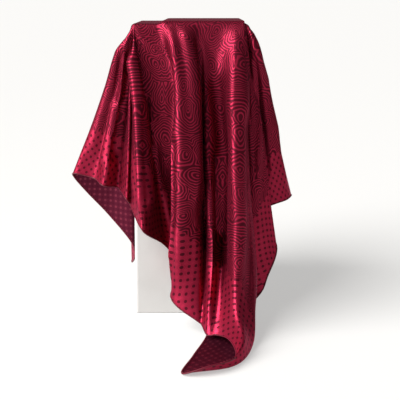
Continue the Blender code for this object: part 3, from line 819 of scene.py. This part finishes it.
class Nodes:
    """A material's node tree, with short calls to add and link nodes."""

    def __init__(self, name: str) -> None:
        """Starts a material with a Principled shader.

        Args:
            name: The material's name.
        """
        self.material = bpy.data.materials.new(name)
        self.material.use_nodes = True
        self.tree = self.material.node_tree
        self.shader = self.tree.nodes["Principled BSDF"]

    def add(self, kind: str, inputs: Optional[dict] = None, **settings: object) -> bpy.types.Node:
        """Adds a node.

        Args:
            kind: The node's type.
            inputs: Values or sockets for its inputs, by name or number.
            settings: Its own properties.

        Returns:
            The node.
        """
        node = self.tree.nodes.new(kind)
        for key, value in settings.items():
            setattr(node, key, value)
        for key, value in (inputs or {}).items():
            self.feed(node.inputs[key], value)
        return node

    def feed(self, socket: bpy.types.NodeSocket, value: object) -> None:
        """Sets an input, or links it to an output.

        Args:
            socket: The input.
            value: A value, or an output to link.
        """
        if isinstance(value, bpy.types.NodeSocket):
            self.tree.links.new(value, socket)
        else:
            socket.default_value = value

    def settle(self, values: dict[str, object]) -> None:
        """Sets inputs of the shader, by name."""
        for name, value in values.items():
            self.feed(self.shader.inputs[name], value)

    def math(self, operation: str, a: object, b: object = 0.0) -> bpy.types.NodeSocket:
        """One step of arithmetic on values or sockets."""
        return self.add("ShaderNodeMath", {0: a, 1: b}, operation=operation).outputs[0]

    def without(self, value: object) -> bpy.types.NodeSocket:
        """1 less a value."""
        return self.math("SUBTRACT", 1.0, value)

    def vector_math(self, operation: str, inputs: dict) -> bpy.types.NodeSocket:
        """One step of arithmetic on vectors."""
        return self.add("ShaderNodeVectorMath", inputs, operation=operation).outputs[0]

    def mapped(self, place: bpy.types.NodeSocket, **changes: object) -> bpy.types.NodeSocket:
        """A place scaled or turned."""
        inputs = {name.capitalize(): value for name, value in changes.items()}
        return self.add("ShaderNodeMapping", {"Vector": place, **inputs}).outputs["Vector"]

    def relief(self, height: object, bump: Bump,
               under: Optional[bpy.types.NodeSocket] = None) -> bpy.types.NodeSocket:
        """A relief on the surface.

        Args:
            height: Its height, from 0 to 1.
            bump: How it shows.
            under: The normal of the relief that it lies on, if there is one.

        Returns:
            The surface's normal.
        """
        inputs = {"Height": height, "Strength": bump.strength, "Distance": bump.distance}
        if under is not None:
            inputs["Normal"] = under
        return self.add("ShaderNodeBump", inputs).outputs["Normal"]

    def smooth(self, value: object, low: float, high: float) -> bpy.types.NodeSocket:
        """Rises smoothly from 0 at low to 1 at high.

        Args:
            value: What is looked at.
            low: Where the rise starts.
            high: Where it ends.

        Returns:
            The share of the rise.
        """
        node = self.add("ShaderNodeMapRange", {"Value": value, "From Min": low, "From Max": high},
                        interpolation_type="SMOOTHSTEP")
        return node.outputs["Result"]

    def blend(self, share: object, a: object, b: object) -> bpy.types.NodeSocket:
        """A mix of two colours.

        Args:
            share: How much of the second colour.
            a: The first colour.
            b: The second colour.

        Returns:
            The colour.
        """
        node = self.add("ShaderNodeMix", data_type="RGBA")
        for name, value in (("Factor", share), ("A", a), ("B", b)):
            self.feed(node.inputs[name], value)
        return node.outputs["Result"]

    def noise(self, vector: object, scale: float, detail: float = 2.0, rough: float = 0.5,
              dims: str = "3D") -> bpy.types.NodeSocket:
        """A noise value between 0 and 1.

        Args:
            vector: Where it is looked up.
            scale: Its waves to the unit.
            detail: How many finer layers it has.
            rough: How strong those are.
            dims: 2D or 3D.

        Returns:
            The value.
        """
        node = self.add("ShaderNodeTexNoise", {"Vector": vector, "Scale": scale, "Detail": detail,
                                               "Roughness": rough}, noise_dimensions=dims)
        return node.outputs["Fac"]


# ---------------------------------------------------------------- finishes

Colour = tuple[float, float, float, float]


class ClothSide(Enum):
    """Which face of the jacquard shows."""

    RIGHT_SIDE = "scarf_right_side"
    WRONG_SIDE = "scarf_wrong_side"


@dataclass(frozen=True)
class Weave:
    """How one side of the jacquard looks: its dull and its shiny threads."""

    dull: Colour
    shiny: Colour
    dull_roughness: float
    shiny_roughness: float
    shiny_shows_figure: bool


WEAVES = {
    ClothSide.RIGHT_SIDE: Weave((0.060, 0.004, 0.010, 1.0), (0.270, 0.012, 0.036, 1.0), 0.46, 0.37, True),
    ClothSide.WRONG_SIDE: Weave((0.052, 0.004, 0.013, 1.0), (0.135, 0.017, 0.034, 1.0), 0.48, 0.38, False),
}


class Push(NamedTuple):
    """How noise pushes a pattern about: its waves to the metre, and how far it reaches in metres."""

    scale: float
    reach: float


@dataclass(frozen=True)
class Jacquard:
    """The satin jacquard: contour lines in the field and dots in the border. Its sizes are in metres."""

    side: float = 0.9
    border: float = 0.078
    border_blur: float = 0.0006
    dot_pitch: float = 0.0098
    dot_radius: float = 0.0024
    dot_edge: tuple[float, float] = (0.8, 1.2)
    ring_radius: float = 1.75
    ring_width: float = 0.4
    ring_strength: float = 0.3
    eye_pitch: float = 0.033
    eye_stretch: float = 1.45
    eye_scatter: float = 0.9
    eye_blend: float = 0.06
    eye_spread: float = 1.15
    line_pitch: float = 0.0031
    line_edge: tuple[float, float] = (-0.05, 0.75)
    wide_push: Push = Push(17.0, 0.026)
    fine_push: Push = Push(75.0, 0.0055)
    thread_pitch: float = 0.0007
    bands_to_the_unit: float = 20.0
    drift_scale: float = 7.0
    drift_lift: float = 1.25
    crinkle_scale: float = 110.0
    ribs: Bump = Bump(0.12, 0.0001)
    crinkle: Bump = Bump(0.30, 0.0012)
    raised: Bump = Bump(0.25, 0.0002)
    metallic: float = 0.7
    specular: float = 0.2
    sheen: float = 0.02
    sheen_roughness: float = 0.35

    def flat_place(self, nodes: Nodes) -> bpy.types.NodeSocket:
        """The place in the flat cloth, in metres."""
        flat = nodes.add("ShaderNodeUVMap", uv_map="flat").outputs["UV"]
        return nodes.mapped(flat, scale=(self.side, self.side, 1.0))

    def diagonal_place(self, nodes: Nodes, place: bpy.types.NodeSocket) -> bpy.types.NodeSocket:
        """The place along the scarf's diagonals, in metres."""
        return nodes.mapped(place, rotation=(0.0, 0.0, math.radians(45)))

    def contour_lines(self, nodes: Nodes, diagonal: bpy.types.NodeSocket) -> bpy.types.NodeSocket:
        """Level lines round scattered eyes, as in the grain of wood.

        Args:
            nodes: The material's nodes.
            diagonal: The place along the diagonals.

        Returns:
            1 on a line and 0 between lines.
        """
        moved = self.pushed(nodes, self.pushed(nodes, diagonal, self.wide_push), self.fine_push)
        eyes = nodes.mapped(moved, scale=(1 / self.eye_pitch, 1 / self.eye_pitch / self.eye_stretch, 1.0))
        settings = {"Vector": eyes, "Scale": 1.0, "Smoothness": self.eye_blend,
                    "Randomness": self.eye_scatter}
        cell = nodes.add("ShaderNodeTexVoronoi", settings, voronoi_dimensions="2D", feature="SMOOTH_F1")
        distance = nodes.math("MULTIPLY", cell.outputs["Distance"], self.eye_pitch * self.eye_spread)
        wave = nodes.math("SINE", nodes.math("MULTIPLY", distance, 2 * math.pi / self.line_pitch))
        return nodes.smooth(wave, *self.line_edge)

    def pushed(self, nodes: Nodes, place: bpy.types.NodeSocket, push: Push) -> bpy.types.NodeSocket:
        """A place pushed about by noise.

        Args:
            nodes: The material's nodes.
            place: The place to push.
            push: How quickly and how far.

        Returns:
            The moved place.
        """
        settings = {"Vector": place, "Scale": push.scale, "Detail": 1.0, "Roughness": 0.5}
        wander = nodes.add("ShaderNodeTexNoise", settings, noise_dimensions="2D")
        shift = nodes.vector_math("SUBTRACT", {0: wander.outputs["Color"], 1: (0.5, 0.5, 0.5)})
        shift = nodes.vector_math("SCALE", {0: shift, "Scale": push.reach})
        return nodes.vector_math("ADD", {0: place, 1: shift})

    def dots(self, nodes: Nodes, diagonal: bpy.types.NodeSocket) -> bpy.types.NodeSocket:
        """Dots in rows along the diagonals, each with a faint ring.

        Args:
            nodes: The material's nodes.
            diagonal: The place along the diagonals.

        Returns:
            1 in a dot, and less in its ring.
        """
        split = nodes.add("ShaderNodeSeparateXYZ", {"Vector": diagonal})
        steps = []
        for axis in ("X", "Y"):
            shifted = nodes.math("ADD", split.outputs[axis], 1.0)
            cell = nodes.math("FRACT", nodes.math("DIVIDE", shifted, self.dot_pitch))
            steps.append(nodes.math("MULTIPLY", nodes.math("SUBTRACT", cell, 0.5), self.dot_pitch))
        squares = [nodes.math("MULTIPLY", step, step) for step in steps]
        radius = nodes.math("SQRT", nodes.math("ADD", *squares))
        inner, outer = (self.dot_radius * share for share in self.dot_edge)
        dot = nodes.without(nodes.smooth(radius, inner, outer))
        past_ring = nodes.math("SUBTRACT", radius, self.dot_radius * self.ring_radius)
        from_ring = nodes.math("ABSOLUTE", past_ring)
        ring = nodes.without(nodes.smooth(from_ring, 0.0, self.dot_radius * self.ring_width))
        return nodes.math("MAXIMUM", dot, nodes.math("MULTIPLY", ring, self.ring_strength))

    def shine(self, nodes: Nodes, place: bpy.types.NodeSocket) -> bpy.types.NodeSocket:
        """Where shiny threads lie on the right side: the field's lines, and the border between its dots.

        Args:
            nodes: The material's nodes.
            place: The place in the flat cloth.

        Returns:
            1 where the threads are shiny, 0 where they are dull.
        """
        split = nodes.add("ShaderNodeSeparateXYZ", {"Vector": place})
        u, v = split.outputs["X"], split.outputs["Y"]
        from_edge = nodes.math("MINIMUM", nodes.math("MINIMUM", u, nodes.math("SUBTRACT", self.side, u)),
                               nodes.math("MINIMUM", v, nodes.math("SUBTRACT", self.side, v)))
        in_field = nodes.smooth(from_edge, self.border - self.border_blur, self.border + self.border_blur)
        diagonal = self.diagonal_place(nodes, place)
        lines = self.contour_lines(nodes, diagonal)
        between_dots = nodes.without(self.dots(nodes, diagonal))
        return nodes.math("ADD", nodes.math("MULTIPLY", lines, in_field),
                          nodes.math("MULTIPLY", between_dots, nodes.without(in_field)))

    def threads(self, nodes: Nodes, place: bpy.types.NodeSocket) -> bpy.types.NodeSocket:
        """The height of the satin's fine ribs, which follow the threads.

        Args:
            nodes: The material's nodes.
            place: The place in the flat cloth.

        Returns:
            The height, from 0 to 1.
        """
        scale = 1 / self.thread_pitch / self.bands_to_the_unit
        settings = {"Vector": place, "Scale": scale, "Distortion": 0.6, "Detail": 1.0}
        node = nodes.add("ShaderNodeTexWave", settings, wave_type="BANDS", bands_direction="DIAGONAL")
        return node.outputs["Fac"]

    def material(self, cloth_side: ClothSide, weave: Weave) -> bpy.types.Material:
        """The finish of one side.

        Args:
            cloth_side: Which side of the cloth.
            weave: How that side looks.

        Returns:
            The material.
        """
        nodes = Nodes(cloth_side.value)
        place = self.flat_place(nodes)
        shiny = self.shine(nodes, place)
        if not weave.shiny_shows_figure:
            shiny = nodes.without(shiny)
        drift = nodes.noise(place, self.drift_scale, 3.0, 0.5, "2D")
        lighter = tuple(c * self.drift_lift for c in weave.dull[:3]) + (1.0,)
        dull = nodes.blend(nodes.smooth(drift, 0.35, 0.65), weave.dull, lighter)
        gloss = nodes.math("MULTIPLY", shiny, weave.shiny_roughness - weave.dull_roughness)
        crinkles = nodes.noise(place, self.crinkle_scale, 3.0, 0.55, "2D")
        normal = nodes.relief(self.threads(nodes, place), self.ribs)
        normal = nodes.relief(crinkles, self.crinkle, normal)
        normal = nodes.relief(shiny, self.raised, normal)
        nodes.settle({
            "Base Color": nodes.blend(shiny, dull, weave.shiny),
            "Roughness": nodes.math("ADD", weave.dull_roughness, gloss),
            "Normal": normal,
            "Metallic": self.metallic,
            "Specular IOR Level": self.specular,
            "Specular Tint": (1.0, 0.42, 0.55, 1.0),
            "Sheen Weight": self.sheen,
            "Sheen Roughness": self.sheen_roughness,
            "Sheen Tint": (1.0, 0.4, 0.55, 1.0),
        })
        return nodes.material


@dataclass(frozen=True)
class HemThread:
    """The satin of the rolled hem, and the sewing thread on it."""

    name: str
    colour: Colour
    roughness: float
    twist: float
    darkening: float = 0.6
    drift_scale: float = 60.0
    fibres: Bump = Bump(0.4, 0.0002)
    specular: float = 0.2
    sheen: float = 0.01

    def material(self) -> bpy.types.Material:
        """A twisted fibre finish on Object coordinates.

        Returns:
            The material.
        """
        nodes = Nodes(self.name)
        where = nodes.add("ShaderNodeTexCoord").outputs["Object"]
        drift = nodes.noise(where, self.drift_scale, 3.0)
        darker = tuple(c * self.darkening for c in self.colour[:3]) + (1.0,)
        nodes.settle({
            "Base Color": nodes.blend(drift, darker, self.colour),
            "Roughness": self.roughness,
            "Normal": nodes.relief(nodes.noise(where, self.twist, 2.0), self.fibres),
            "Specular IOR Level": self.specular,
            "Sheen Weight": self.sheen,
            "Sheen Tint": (1.0, 0.5, 0.6, 1.0),
        })
        return nodes.material


HEM_SATIN = HemThread("hem_satin", (0.120, 0.004, 0.016, 1.0), 0.45, 900.0)
HEM_THREAD = HemThread("hem_thread", (0.160, 0.008, 0.024, 1.0), 0.5, 2500.0)


@dataclass(frozen=True)
class PlinthPaint:
    """Matt white paint with the soft unevenness of a covered board."""

    colour: Colour = (0.46, 0.45, 0.435, 1.0)
    shade: Colour = (0.43, 0.42, 0.405, 1.0)
    roughness: float = 0.62
    grain_roughness: float = 0.12
    cloud_scale: float = 14.0
    dent_scale: float = 22.0
    dent_stretch: float = 0.55
    dents: Bump = Bump(0.35, 0.002)
    grain_scale: float = 900.0
    grain: Bump = Bump(0.15, 0.0002)

    def material(self) -> bpy.types.Material:
        """The paint on Object coordinates.

        Returns:
            The material.
        """
        nodes = Nodes("plinth_white_paint")
        where = nodes.add("ShaderNodeTexCoord").outputs["Object"]
        cloud = nodes.noise(where, self.cloud_scale, 4.0, 0.55)
        upright = nodes.mapped(where, scale=(1.0, 1.0, self.dent_stretch))
        dents = nodes.noise(upright, self.dent_scale, 2.0, 0.45)
        grain = nodes.noise(where, self.grain_scale, 2.0, 0.6)
        rougher = nodes.math("MULTIPLY", grain, self.grain_roughness)
        nodes.settle({
            "Base Color": nodes.blend(nodes.smooth(cloud, 0.35, 0.75), self.colour, self.shade),
            "Normal": nodes.relief(grain, self.grain, nodes.relief(dents, self.dents)),
            "Roughness": nodes.math("ADD", self.roughness, rougher),
        })
        return nodes.material


# ---------------------------------------------------------------- sub-assemblies

@dataclass
class Scarf:
    """The cloth, its rolled hem and the stitches that hold the hem."""

    layout: Layout = field(default_factory=Layout)
    jacquard: Jacquard = field(default_factory=Jacquard)
    thickness: float = 0.4 * MM
    smooth_angle: float = math.radians(75)
    hem_step: float = 5.6 * MM
    rings: int = 62
    hem_radius: float = 1.15 * MM
    hem_clearance: float = 0.1 * MM
    stitch_pitch: float = 5.0 * MM
    stitch_radius: float = 0.24 * MM
    stitch_length: float = 2.6 * MM
    stitch_narrowing: float = 0.1 * MM
    stitch_point: float = 0.12 * MM
    stitch_along: float = 0.55
    stitch_inward: float = 0.83
    seat_inward: float = 1.05
    seat_up: float = 0.62
    stitch_least_height: float = 0.5 * MM
    evening_rounds: int = 300
    evening_push: float = 1.2
    crease_steps: int = 161
    crease_reach: float = 3.0
    crease_fade: float = 0.12
    top_fade: float = 14 * MM
    edge_margin: float = 6 * MM
    floor_margin: float = 6 * MM
    floor_fade: float = 30 * MM
    ripple: float = 0.35 * MM
    ripple_scale: float = 26.0
    ripple_stretch: float = 0.6
    ripple_layer: float = 3.7
    easing_rounds: int = 12
    easing: float = 0.6
    easing_spread: int = 3

    def build(self) -> list[bpy.types.Object]:
        """Returns:
            The pieces.
        """
        self.drape = Drape(self.layout, self.hem_step, self.rings)
        self.surface = Surface(self.drape)
        cloth = self.build_cloth()
        hem = self.build_hem()
        stitches = self.build_stitches()
        for piece in (cloth, hem, stitches):
            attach(piece, "root")
        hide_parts("scarf_cloth")
        return [cloth, hem, stitches]

    def build_cloth(self) -> bpy.types.Object:
        """The thin shell on the drape, with the flat cloth as its UV map.

        Returns:
            The shell.
        """
        surface = self.surface
        cloth = new_piece("scarf_shell", surface.vertices, (), surface.faces)
        self.places = self.evened_places(cloth)
        self.soften(cloth)
        self.map_flat(cloth)
        shell = cloth.modifiers.new("thickness", "SOLIDIFY")
        shell.thickness = self.thickness
        shell.offset = 0.0
        shell.material_offset = 1
        shell.material_offset_rim = 0
        for side, weave in WEAVES.items():
            cloth.data.materials.append(self.jacquard.material(side, weave))
        apply_modifier(cloth, "thickness")
        bpy.ops.object.shade_smooth_by_angle(angle=self.smooth_angle)
        log.info("scarf_shell: %d faces", len(cloth.data.polygons))
        return cloth

    def soften(self, cloth: bpy.types.Object) -> None:
        """Gives the hanging cloth its creases and a slight ripple, and none where it lies on something.

        Args:
            cloth: The shell's middle surface.
        """
        rises = sum(self.crease_rise(crease, self.places / MM) for crease in CREASES)
        shape = bmesh.new()
        shape.from_mesh(cloth.data)
        shape.normal_update()
        moves = []
        for vert in shape.verts:
            free = min(1.0, max(0.0, (self.layout.stand_height - vert.co.z) / self.top_fade))
            free *= min(1.0, max(0.0, (vert.co.z - self.floor_margin) / self.floor_fade))
            x, y = self.places[vert.index] * self.ripple_scale
            wave = noise.noise(Vector((x, y * self.ripple_stretch, self.ripple_layer)))
            moves.append(vert.normal * (wave * self.ripple + rises[vert.index] * MM) * free)
        shape.free()
        moved = self.eased(cloth, np.array([move[:] for move in moves]))
        for n, vert in enumerate(cloth.data.vertices):
            vert.co = moved[n]
            self.surface.vertices[n] = moved[n]

    def eased(self, cloth: bpy.types.Object, moves: np.ndarray) -> np.ndarray:
        """Makes the moves, and lessens them where one layer of cloth would go through another.

        Args:
            cloth: The shell before its creases.
            moves: How far the creases move each vertex.

        Returns:
            The new place of each vertex.
        """
        start = np.array([vert.co[:] for vert in cloth.data.vertices])
        faces = [tuple(face.vertices) for face in cloth.data.polygons]
        corners = np.array([face + face[:1] * (4 - len(face)) for face in faces])
        edges = np.array([tuple(edge.vertices) for edge in cloth.data.edges])
        shares = np.ones(len(start))
        for turn in range(self.easing_rounds):
            moved = start + moves * shares[:, None]
            hanging = moved[:, 2] < self.layout.stand_height - self.edge_margin
            moved[hanging] = self.drape.clear_of_plinth(moved[hanging])
            tree = BVHTree.FromPolygons(moved.tolist(), faces)
            pairs = np.array(tree.overlap(tree))
            first, second = corners[pairs[:, 0]], corners[pairs[:, 1]]
            apart = ~(first[:, :, None] == second[:, None, :]).any(axis=(1, 2))
            log.info("easing %d: %d crossings", turn, apart.sum() // 2)
            if not apart.any():
                break
            hold = np.ones(len(start))
            hold[first[apart].ravel()] = self.easing
            for _ in range(self.easing_spread):
                # A neighbour is held two thirds as much, so that a crease ends without a step.
                least = hold.copy()
                for near, far in ((0, 1), (1, 0)):
                    np.minimum.at(least, edges[:, near], (1 + 2 * hold[edges[:, far]]) / 3)
                hold = least
            shares *= hold
        return moved

    def crease_rise(self, crease: Crease, places: np.ndarray) -> np.ndarray:
        """How far one crease lifts each place of the cloth.

        Args:
            crease: The crease.
            places: The places in the flat cloth, in mm.

        Returns:
            The rise at each place, in mm.
        """
        ends = np.array([[crease.from_x, crease.from_y], [crease.to_x, crease.to_y]])
        middle = np.array([crease.mid_x, crease.mid_y])
        bend = 2 * middle - ends.mean(axis=0)
        steps = np.linspace(0.0, 1.0, self.crease_steps)[:, None]
        path = ends[0] * (1 - steps) ** 2 + bend * 2 * steps * (1 - steps) + ends[1] * steps ** 2
        reach = self.crease_reach * crease.width
        inside = (places > path.min(axis=0) - reach) & (places < path.max(axis=0) + reach)
        near = inside.all(axis=1)
        away = np.linalg.norm(places[near, None, :] - path[None], axis=2)
        share = steps[away.argmin(axis=1), 0]
        fade = np.clip(share / self.crease_fade, 0, 1) * np.clip((1 - share) / self.crease_fade, 0, 1)
        rises = np.zeros(len(places))
        rises[near] = crease.rise * fade * np.exp(-(away.min(axis=1) / crease.width) ** 2)
        return rises

    def map_flat(self, cloth: bpy.types.Object) -> None:
        """Adds the UV map that gives each vertex's place in the flat cloth, from 0 to 1.

        Args:
            cloth: The shell's middle surface.
        """
        side = self.layout.side
        layer = cloth.data.uv_layers.new(name="flat")
        for loop, uv in zip(cloth.data.loops, layer.uv):
            x, y = self.places[loop.vertex_index]
            uv.vector = ((x + y) / math.sqrt(2) / side + 0.5, (y - x) / math.sqrt(2) / side + 0.5)

    def evened_places(self, cloth: bpy.types.Object) -> np.ndarray:
        """The flat places, evened out so that lengths in the flat cloth agree with those of the drape.

        Args:
            cloth: The shell's middle surface.

        Returns:
            One place for each vertex. Those on the hem stay where they are.
        """
        places = np.array(self.surface.cloth)
        points = np.array(self.surface.vertices)
        ends = np.array([edge.vertices[:] for edge in cloth.data.edges])
        quads = [f.vertices for f in cloth.data.polygons if len(f.vertices) == 4]
        across = [[quad[k], quad[k + 2]] for quad in quads for k in range(2)]
        ends = np.concatenate([ends, across])
        lengths = np.linalg.norm(points[ends[:, 1]] - points[ends[:, 0]], axis=1)
        count = len(places)
        valence = np.maximum(1, np.bincount(ends.ravel(), minlength=count))
        held = np.zeros(count, dtype=bool)
        held[self.surface.hem] = True
        for _ in range(self.evening_rounds):
            apart = places[ends[:, 1]] - places[ends[:, 0]]
            size = np.maximum(np.linalg.norm(apart, axis=1), TINY)
            pull = apart * (0.5 * (size - lengths) / size)[:, None]
            pulls = [[np.bincount(ends[:, n], pull[:, k], count) for n in range(2)] for k in range(2)]
            move = np.stack([first - second for first, second in pulls], axis=1) / valence[:, None]
            move[held] = 0.0
            places += move * self.evening_push
        return places

    def hem_path(self) -> np.ndarray:
        """The points of the hem, in order round the scarf.

        Returns:
            The points, one a row, clear of the floor.
        """
        points = np.array([self.surface.vertices[n] for n in self.surface.hem])
        points[:, 2] = np.maximum(points[:, 2], self.hem_radius + self.hem_clearance)
        return points

    def build_hem(self) -> bpy.types.Object:
        """The narrow rolled hem: a closed roll that follows the cloth's edge.

        Returns:
            The hem.
        """
        points = self.hem_path()
        count = len(points)
        hem = new_piece("rolled_hem", points, [(n, (n + 1) % count) for n in range(count)], ())
        pick(hem)
        bpy.ops.object.convert(target="CURVE")
        hem.data.bevel_depth = self.hem_radius
        hem.data.bevel_resolution = 2
        bpy.ops.object.convert(target="MESH")
        bpy.ops.object.shade_smooth()
        hem.data.materials.clear()
        hem.data.materials.append(HEM_SATIN.material())
        return hem

    def one_stitch(self) -> bpy.types.Object:
        """A stitch: a short round thread with narrowed ends, along X.

        Returns:
            The stitch.
        """
        deselect_all()
        bpy.ops.mesh.primitive_cylinder_add(vertices=6, radius=self.stitch_radius, depth=self.stitch_length,
                                            rotation=(0.0, math.pi / 2, 0.0))
        stitch = bpy.context.object
        bpy.ops.object.transform_apply(location=True, rotation=True, scale=True)
        bpy.ops.object.mode_set(mode="EDIT")
        bpy.ops.mesh.select_all(action="DESELECT")
        bpy.ops.object.mode_set(mode="OBJECT")
        for face in stitch.data.polygons:
            # Only the two ends face along X.
            face.select = abs(face.normal.x) > 0.9
        bpy.ops.object.mode_set(mode="EDIT")
        bpy.ops.mesh.inset(thickness=self.stitch_narrowing, depth=self.stitch_point)
        bpy.ops.object.mode_set(mode="OBJECT")
        return stitch

    def stitch_seats(self) -> Iterator[tuple[np.ndarray, np.ndarray]]:
        """Goes round the hem at an even pitch.

        Yields:
            For each stitch, its middle and its three axes.
        """
        path = self.hem_path()
        inner = np.array([self.surface.vertices[n] for n in self.surface.inside_hem])
        path = np.concatenate([path, path[:1]])
        inner = np.concatenate([inner, inner[:1]])
        marks = marks_along(path)
        for at in np.arange(self.stitch_pitch / 2, marks[-1], self.stitch_pitch):
            i = int(np.searchsorted(marks, at, side="right") - 1)
            s = (at - marks[i]) / (marks[i + 1] - marks[i])
            point = path[i] + (path[i + 1] - path[i]) * s
            along = path[i + 1] - path[i]
            inward = inner[i] + (inner[i + 1] - inner[i]) * s - point
            if np.linalg.norm(along) < TINY or np.linalg.norm(inward) < TINY:
                continue
            along = along / np.linalg.norm(along)
            inward = inward - along * (inward @ along)
            inward = inward / np.linalg.norm(inward)
            normal = np.cross(inward, along)
            slant = along * self.stitch_along + inward * self.stitch_inward
            slant = slant / np.linalg.norm(slant)
            side = np.cross(normal, slant)
            centre = point + inward * self.hem_radius * self.seat_inward
            centre += normal * self.hem_radius * self.seat_up
            centre[2] = max(centre[2], self.stitch_least_height)
            yield centre, np.array([slant, side, normal])

    def build_stitches(self) -> bpy.types.Object:
        """Slanted hem stitches, each a copy of one.

        Returns:
            All the stitches, as one piece.
        """
        stitch = self.one_stitch()
        shape = np.array([v.co[:] for v in stitch.data.vertices])
        faces = [list(p.vertices) for p in stitch.data.polygons]
        vertices, copies = [], []
        for centre, axes in self.stitch_seats():
            base = len(vertices)
            vertices += list(centre + shape @ axes)
            copies += [[base + n for n in f] for f in faces]
        bpy.data.objects.remove(stitch, do_unlink=True)
        made = new_piece("hem_stitches", vertices, (), copies)
        pick(made)
        bpy.ops.object.shade_smooth()
        made.data.materials.append(HEM_THREAD.material())
        return made


@dataclass
class Plinth:
    """The plinth's finish. Its solid stays as the CAD gives it."""

    node: str = "display_plinth"
    paint: PlinthPaint = field(default_factory=PlinthPaint)

    def dress(self) -> None:
        """Paints the plinth."""
        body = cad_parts[self.node]
        material = self.paint.material()
        for slot in body.material_slots:
            slot.material = material
        log.info("%s: painted", self.node)


@dataclass
class Studio:
    """The floor, the lights and the camera."""

    camera_place: tuple[float, float, float] = (0.015, -1.281, 0.4869)
    camera_tilt: float = math.radians(75.85)
    focal_mm: float = 72.0
    sensor_mm: float = 36.0
    near_clip: float = 0.01
    key_place: tuple[float, float, float] = (-1.5, -0.8, 1.6)
    key_turn: float = math.radians(-62)
    key_height: float = math.radians(44)
    key_softness: float = math.radians(46)
    key_strength: float = 5.7
    window_place: tuple[float, float, float] = (-1.75, -1.15, 0.55)
    window_aim: tuple[float, float, float] = (0.0, -0.05, 0.22)
    window_size: float = 0.9
    window_watts: float = 30.0
    floor_size: float = 600.0
    floor_colour: Colour = (0.36, 0.355, 0.345, 1.0)
    floor_light: Colour = (1.0, 0.995, 0.985, 1.0)
    floor_glow: float = 0.45
    world_colour: Colour = (1.0, 0.985, 0.95, 1.0)
    world_strength: float = 0.22

    def build(self) -> None:
        """Sets up everything round the object."""
        self.build_floor()
        self.build_camera()
        self.build_world()
        self.build_key()
        self.build_window()

    @staticmethod
    def place(data: bpy.types.ID, location: Sequence[float], rotation: Sequence[float]) -> bpy.types.Object:
        """Puts a camera or light in the scene.

        Args:
            data: Its data, which also give its name.
            location: Its place.
            rotation: Its turns.

        Returns:
            The object.
        """
        made = bpy.data.objects.new(data.name, data)
        made.location = location
        made.rotation_euler = rotation
        bpy.context.scene.collection.objects.link(made)
        return made

    def build_floor(self) -> None:
        """A plain pale floor that glows a little, as a lit sweep does, so that shadows on it stay faint."""
        deselect_all()
        bpy.ops.mesh.primitive_plane_add(size=self.floor_size, location=(0.0, self.floor_size / 4, 0.0))
        floor = bpy.context.object
        floor.name = "studio_floor"
        nodes = Nodes("studio_floor")
        nodes.settle({
            "Base Color": self.floor_colour,
            "Emission Color": self.floor_light,
            "Emission Strength": self.floor_glow,
            "Roughness": 0.75,
            "Specular IOR Level": 0.2,
        })
        floor.data.materials.append(nodes.material)

    def build_camera(self) -> None:
        """The camera at the photograph's viewing angle."""
        data = bpy.data.cameras.new("photo_camera")
        data.lens = self.focal_mm
        data.sensor_width = self.sensor_mm
        data.clip_start = self.near_clip
        camera = self.place(data, self.camera_place, (self.camera_tilt, 0.0, 0.0))
        bpy.context.scene.camera = camera

    def build_world(self) -> None:
        """White surroundings."""
        world = bpy.data.worlds.new("studio_world")
        world.use_nodes = True
        background = world.node_tree.nodes["Background"]
        background.inputs["Color"].default_value = self.world_colour
        background.inputs["Strength"].default_value = self.world_strength
        bpy.context.scene.world = world
        bpy.context.scene.view_settings.view_transform = "Standard"

    def build_key(self) -> None:
        """A large soft light from the front left, far off, so that the floor is evenly lit."""
        data = bpy.data.lights.new("key_light", "SUN")
        data.angle = self.key_softness
        data.energy = self.key_strength
        self.place(data, self.key_place, (math.pi / 2 - self.key_height, 0.0, self.key_turn))

    def build_window(self) -> None:
        """A low upright soft light at the left, which makes the long highlights on the folds."""
        data = bpy.data.lights.new("window_light", "AREA")
        data.size = self.window_size
        data.energy = self.window_watts
        aim = Vector(self.window_aim) - Vector(self.window_place)
        self.place(data, self.window_place, aim.to_track_quat("-Z", "Y").to_euler())


def main() -> None:
    """Builds the studio, the plinth's finish and the scarf, and notes the sizes."""
    logging.basicConfig(level=logging.INFO, format="%(name)s: %(message)s")
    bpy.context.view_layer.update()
    Studio().build()
    Plinth().dress()
    for piece in Scarf().build():
        log.info("%s: %d vertices", piece.name, len(piece.data.vertices))


if __name__ == "__main__":
    main()
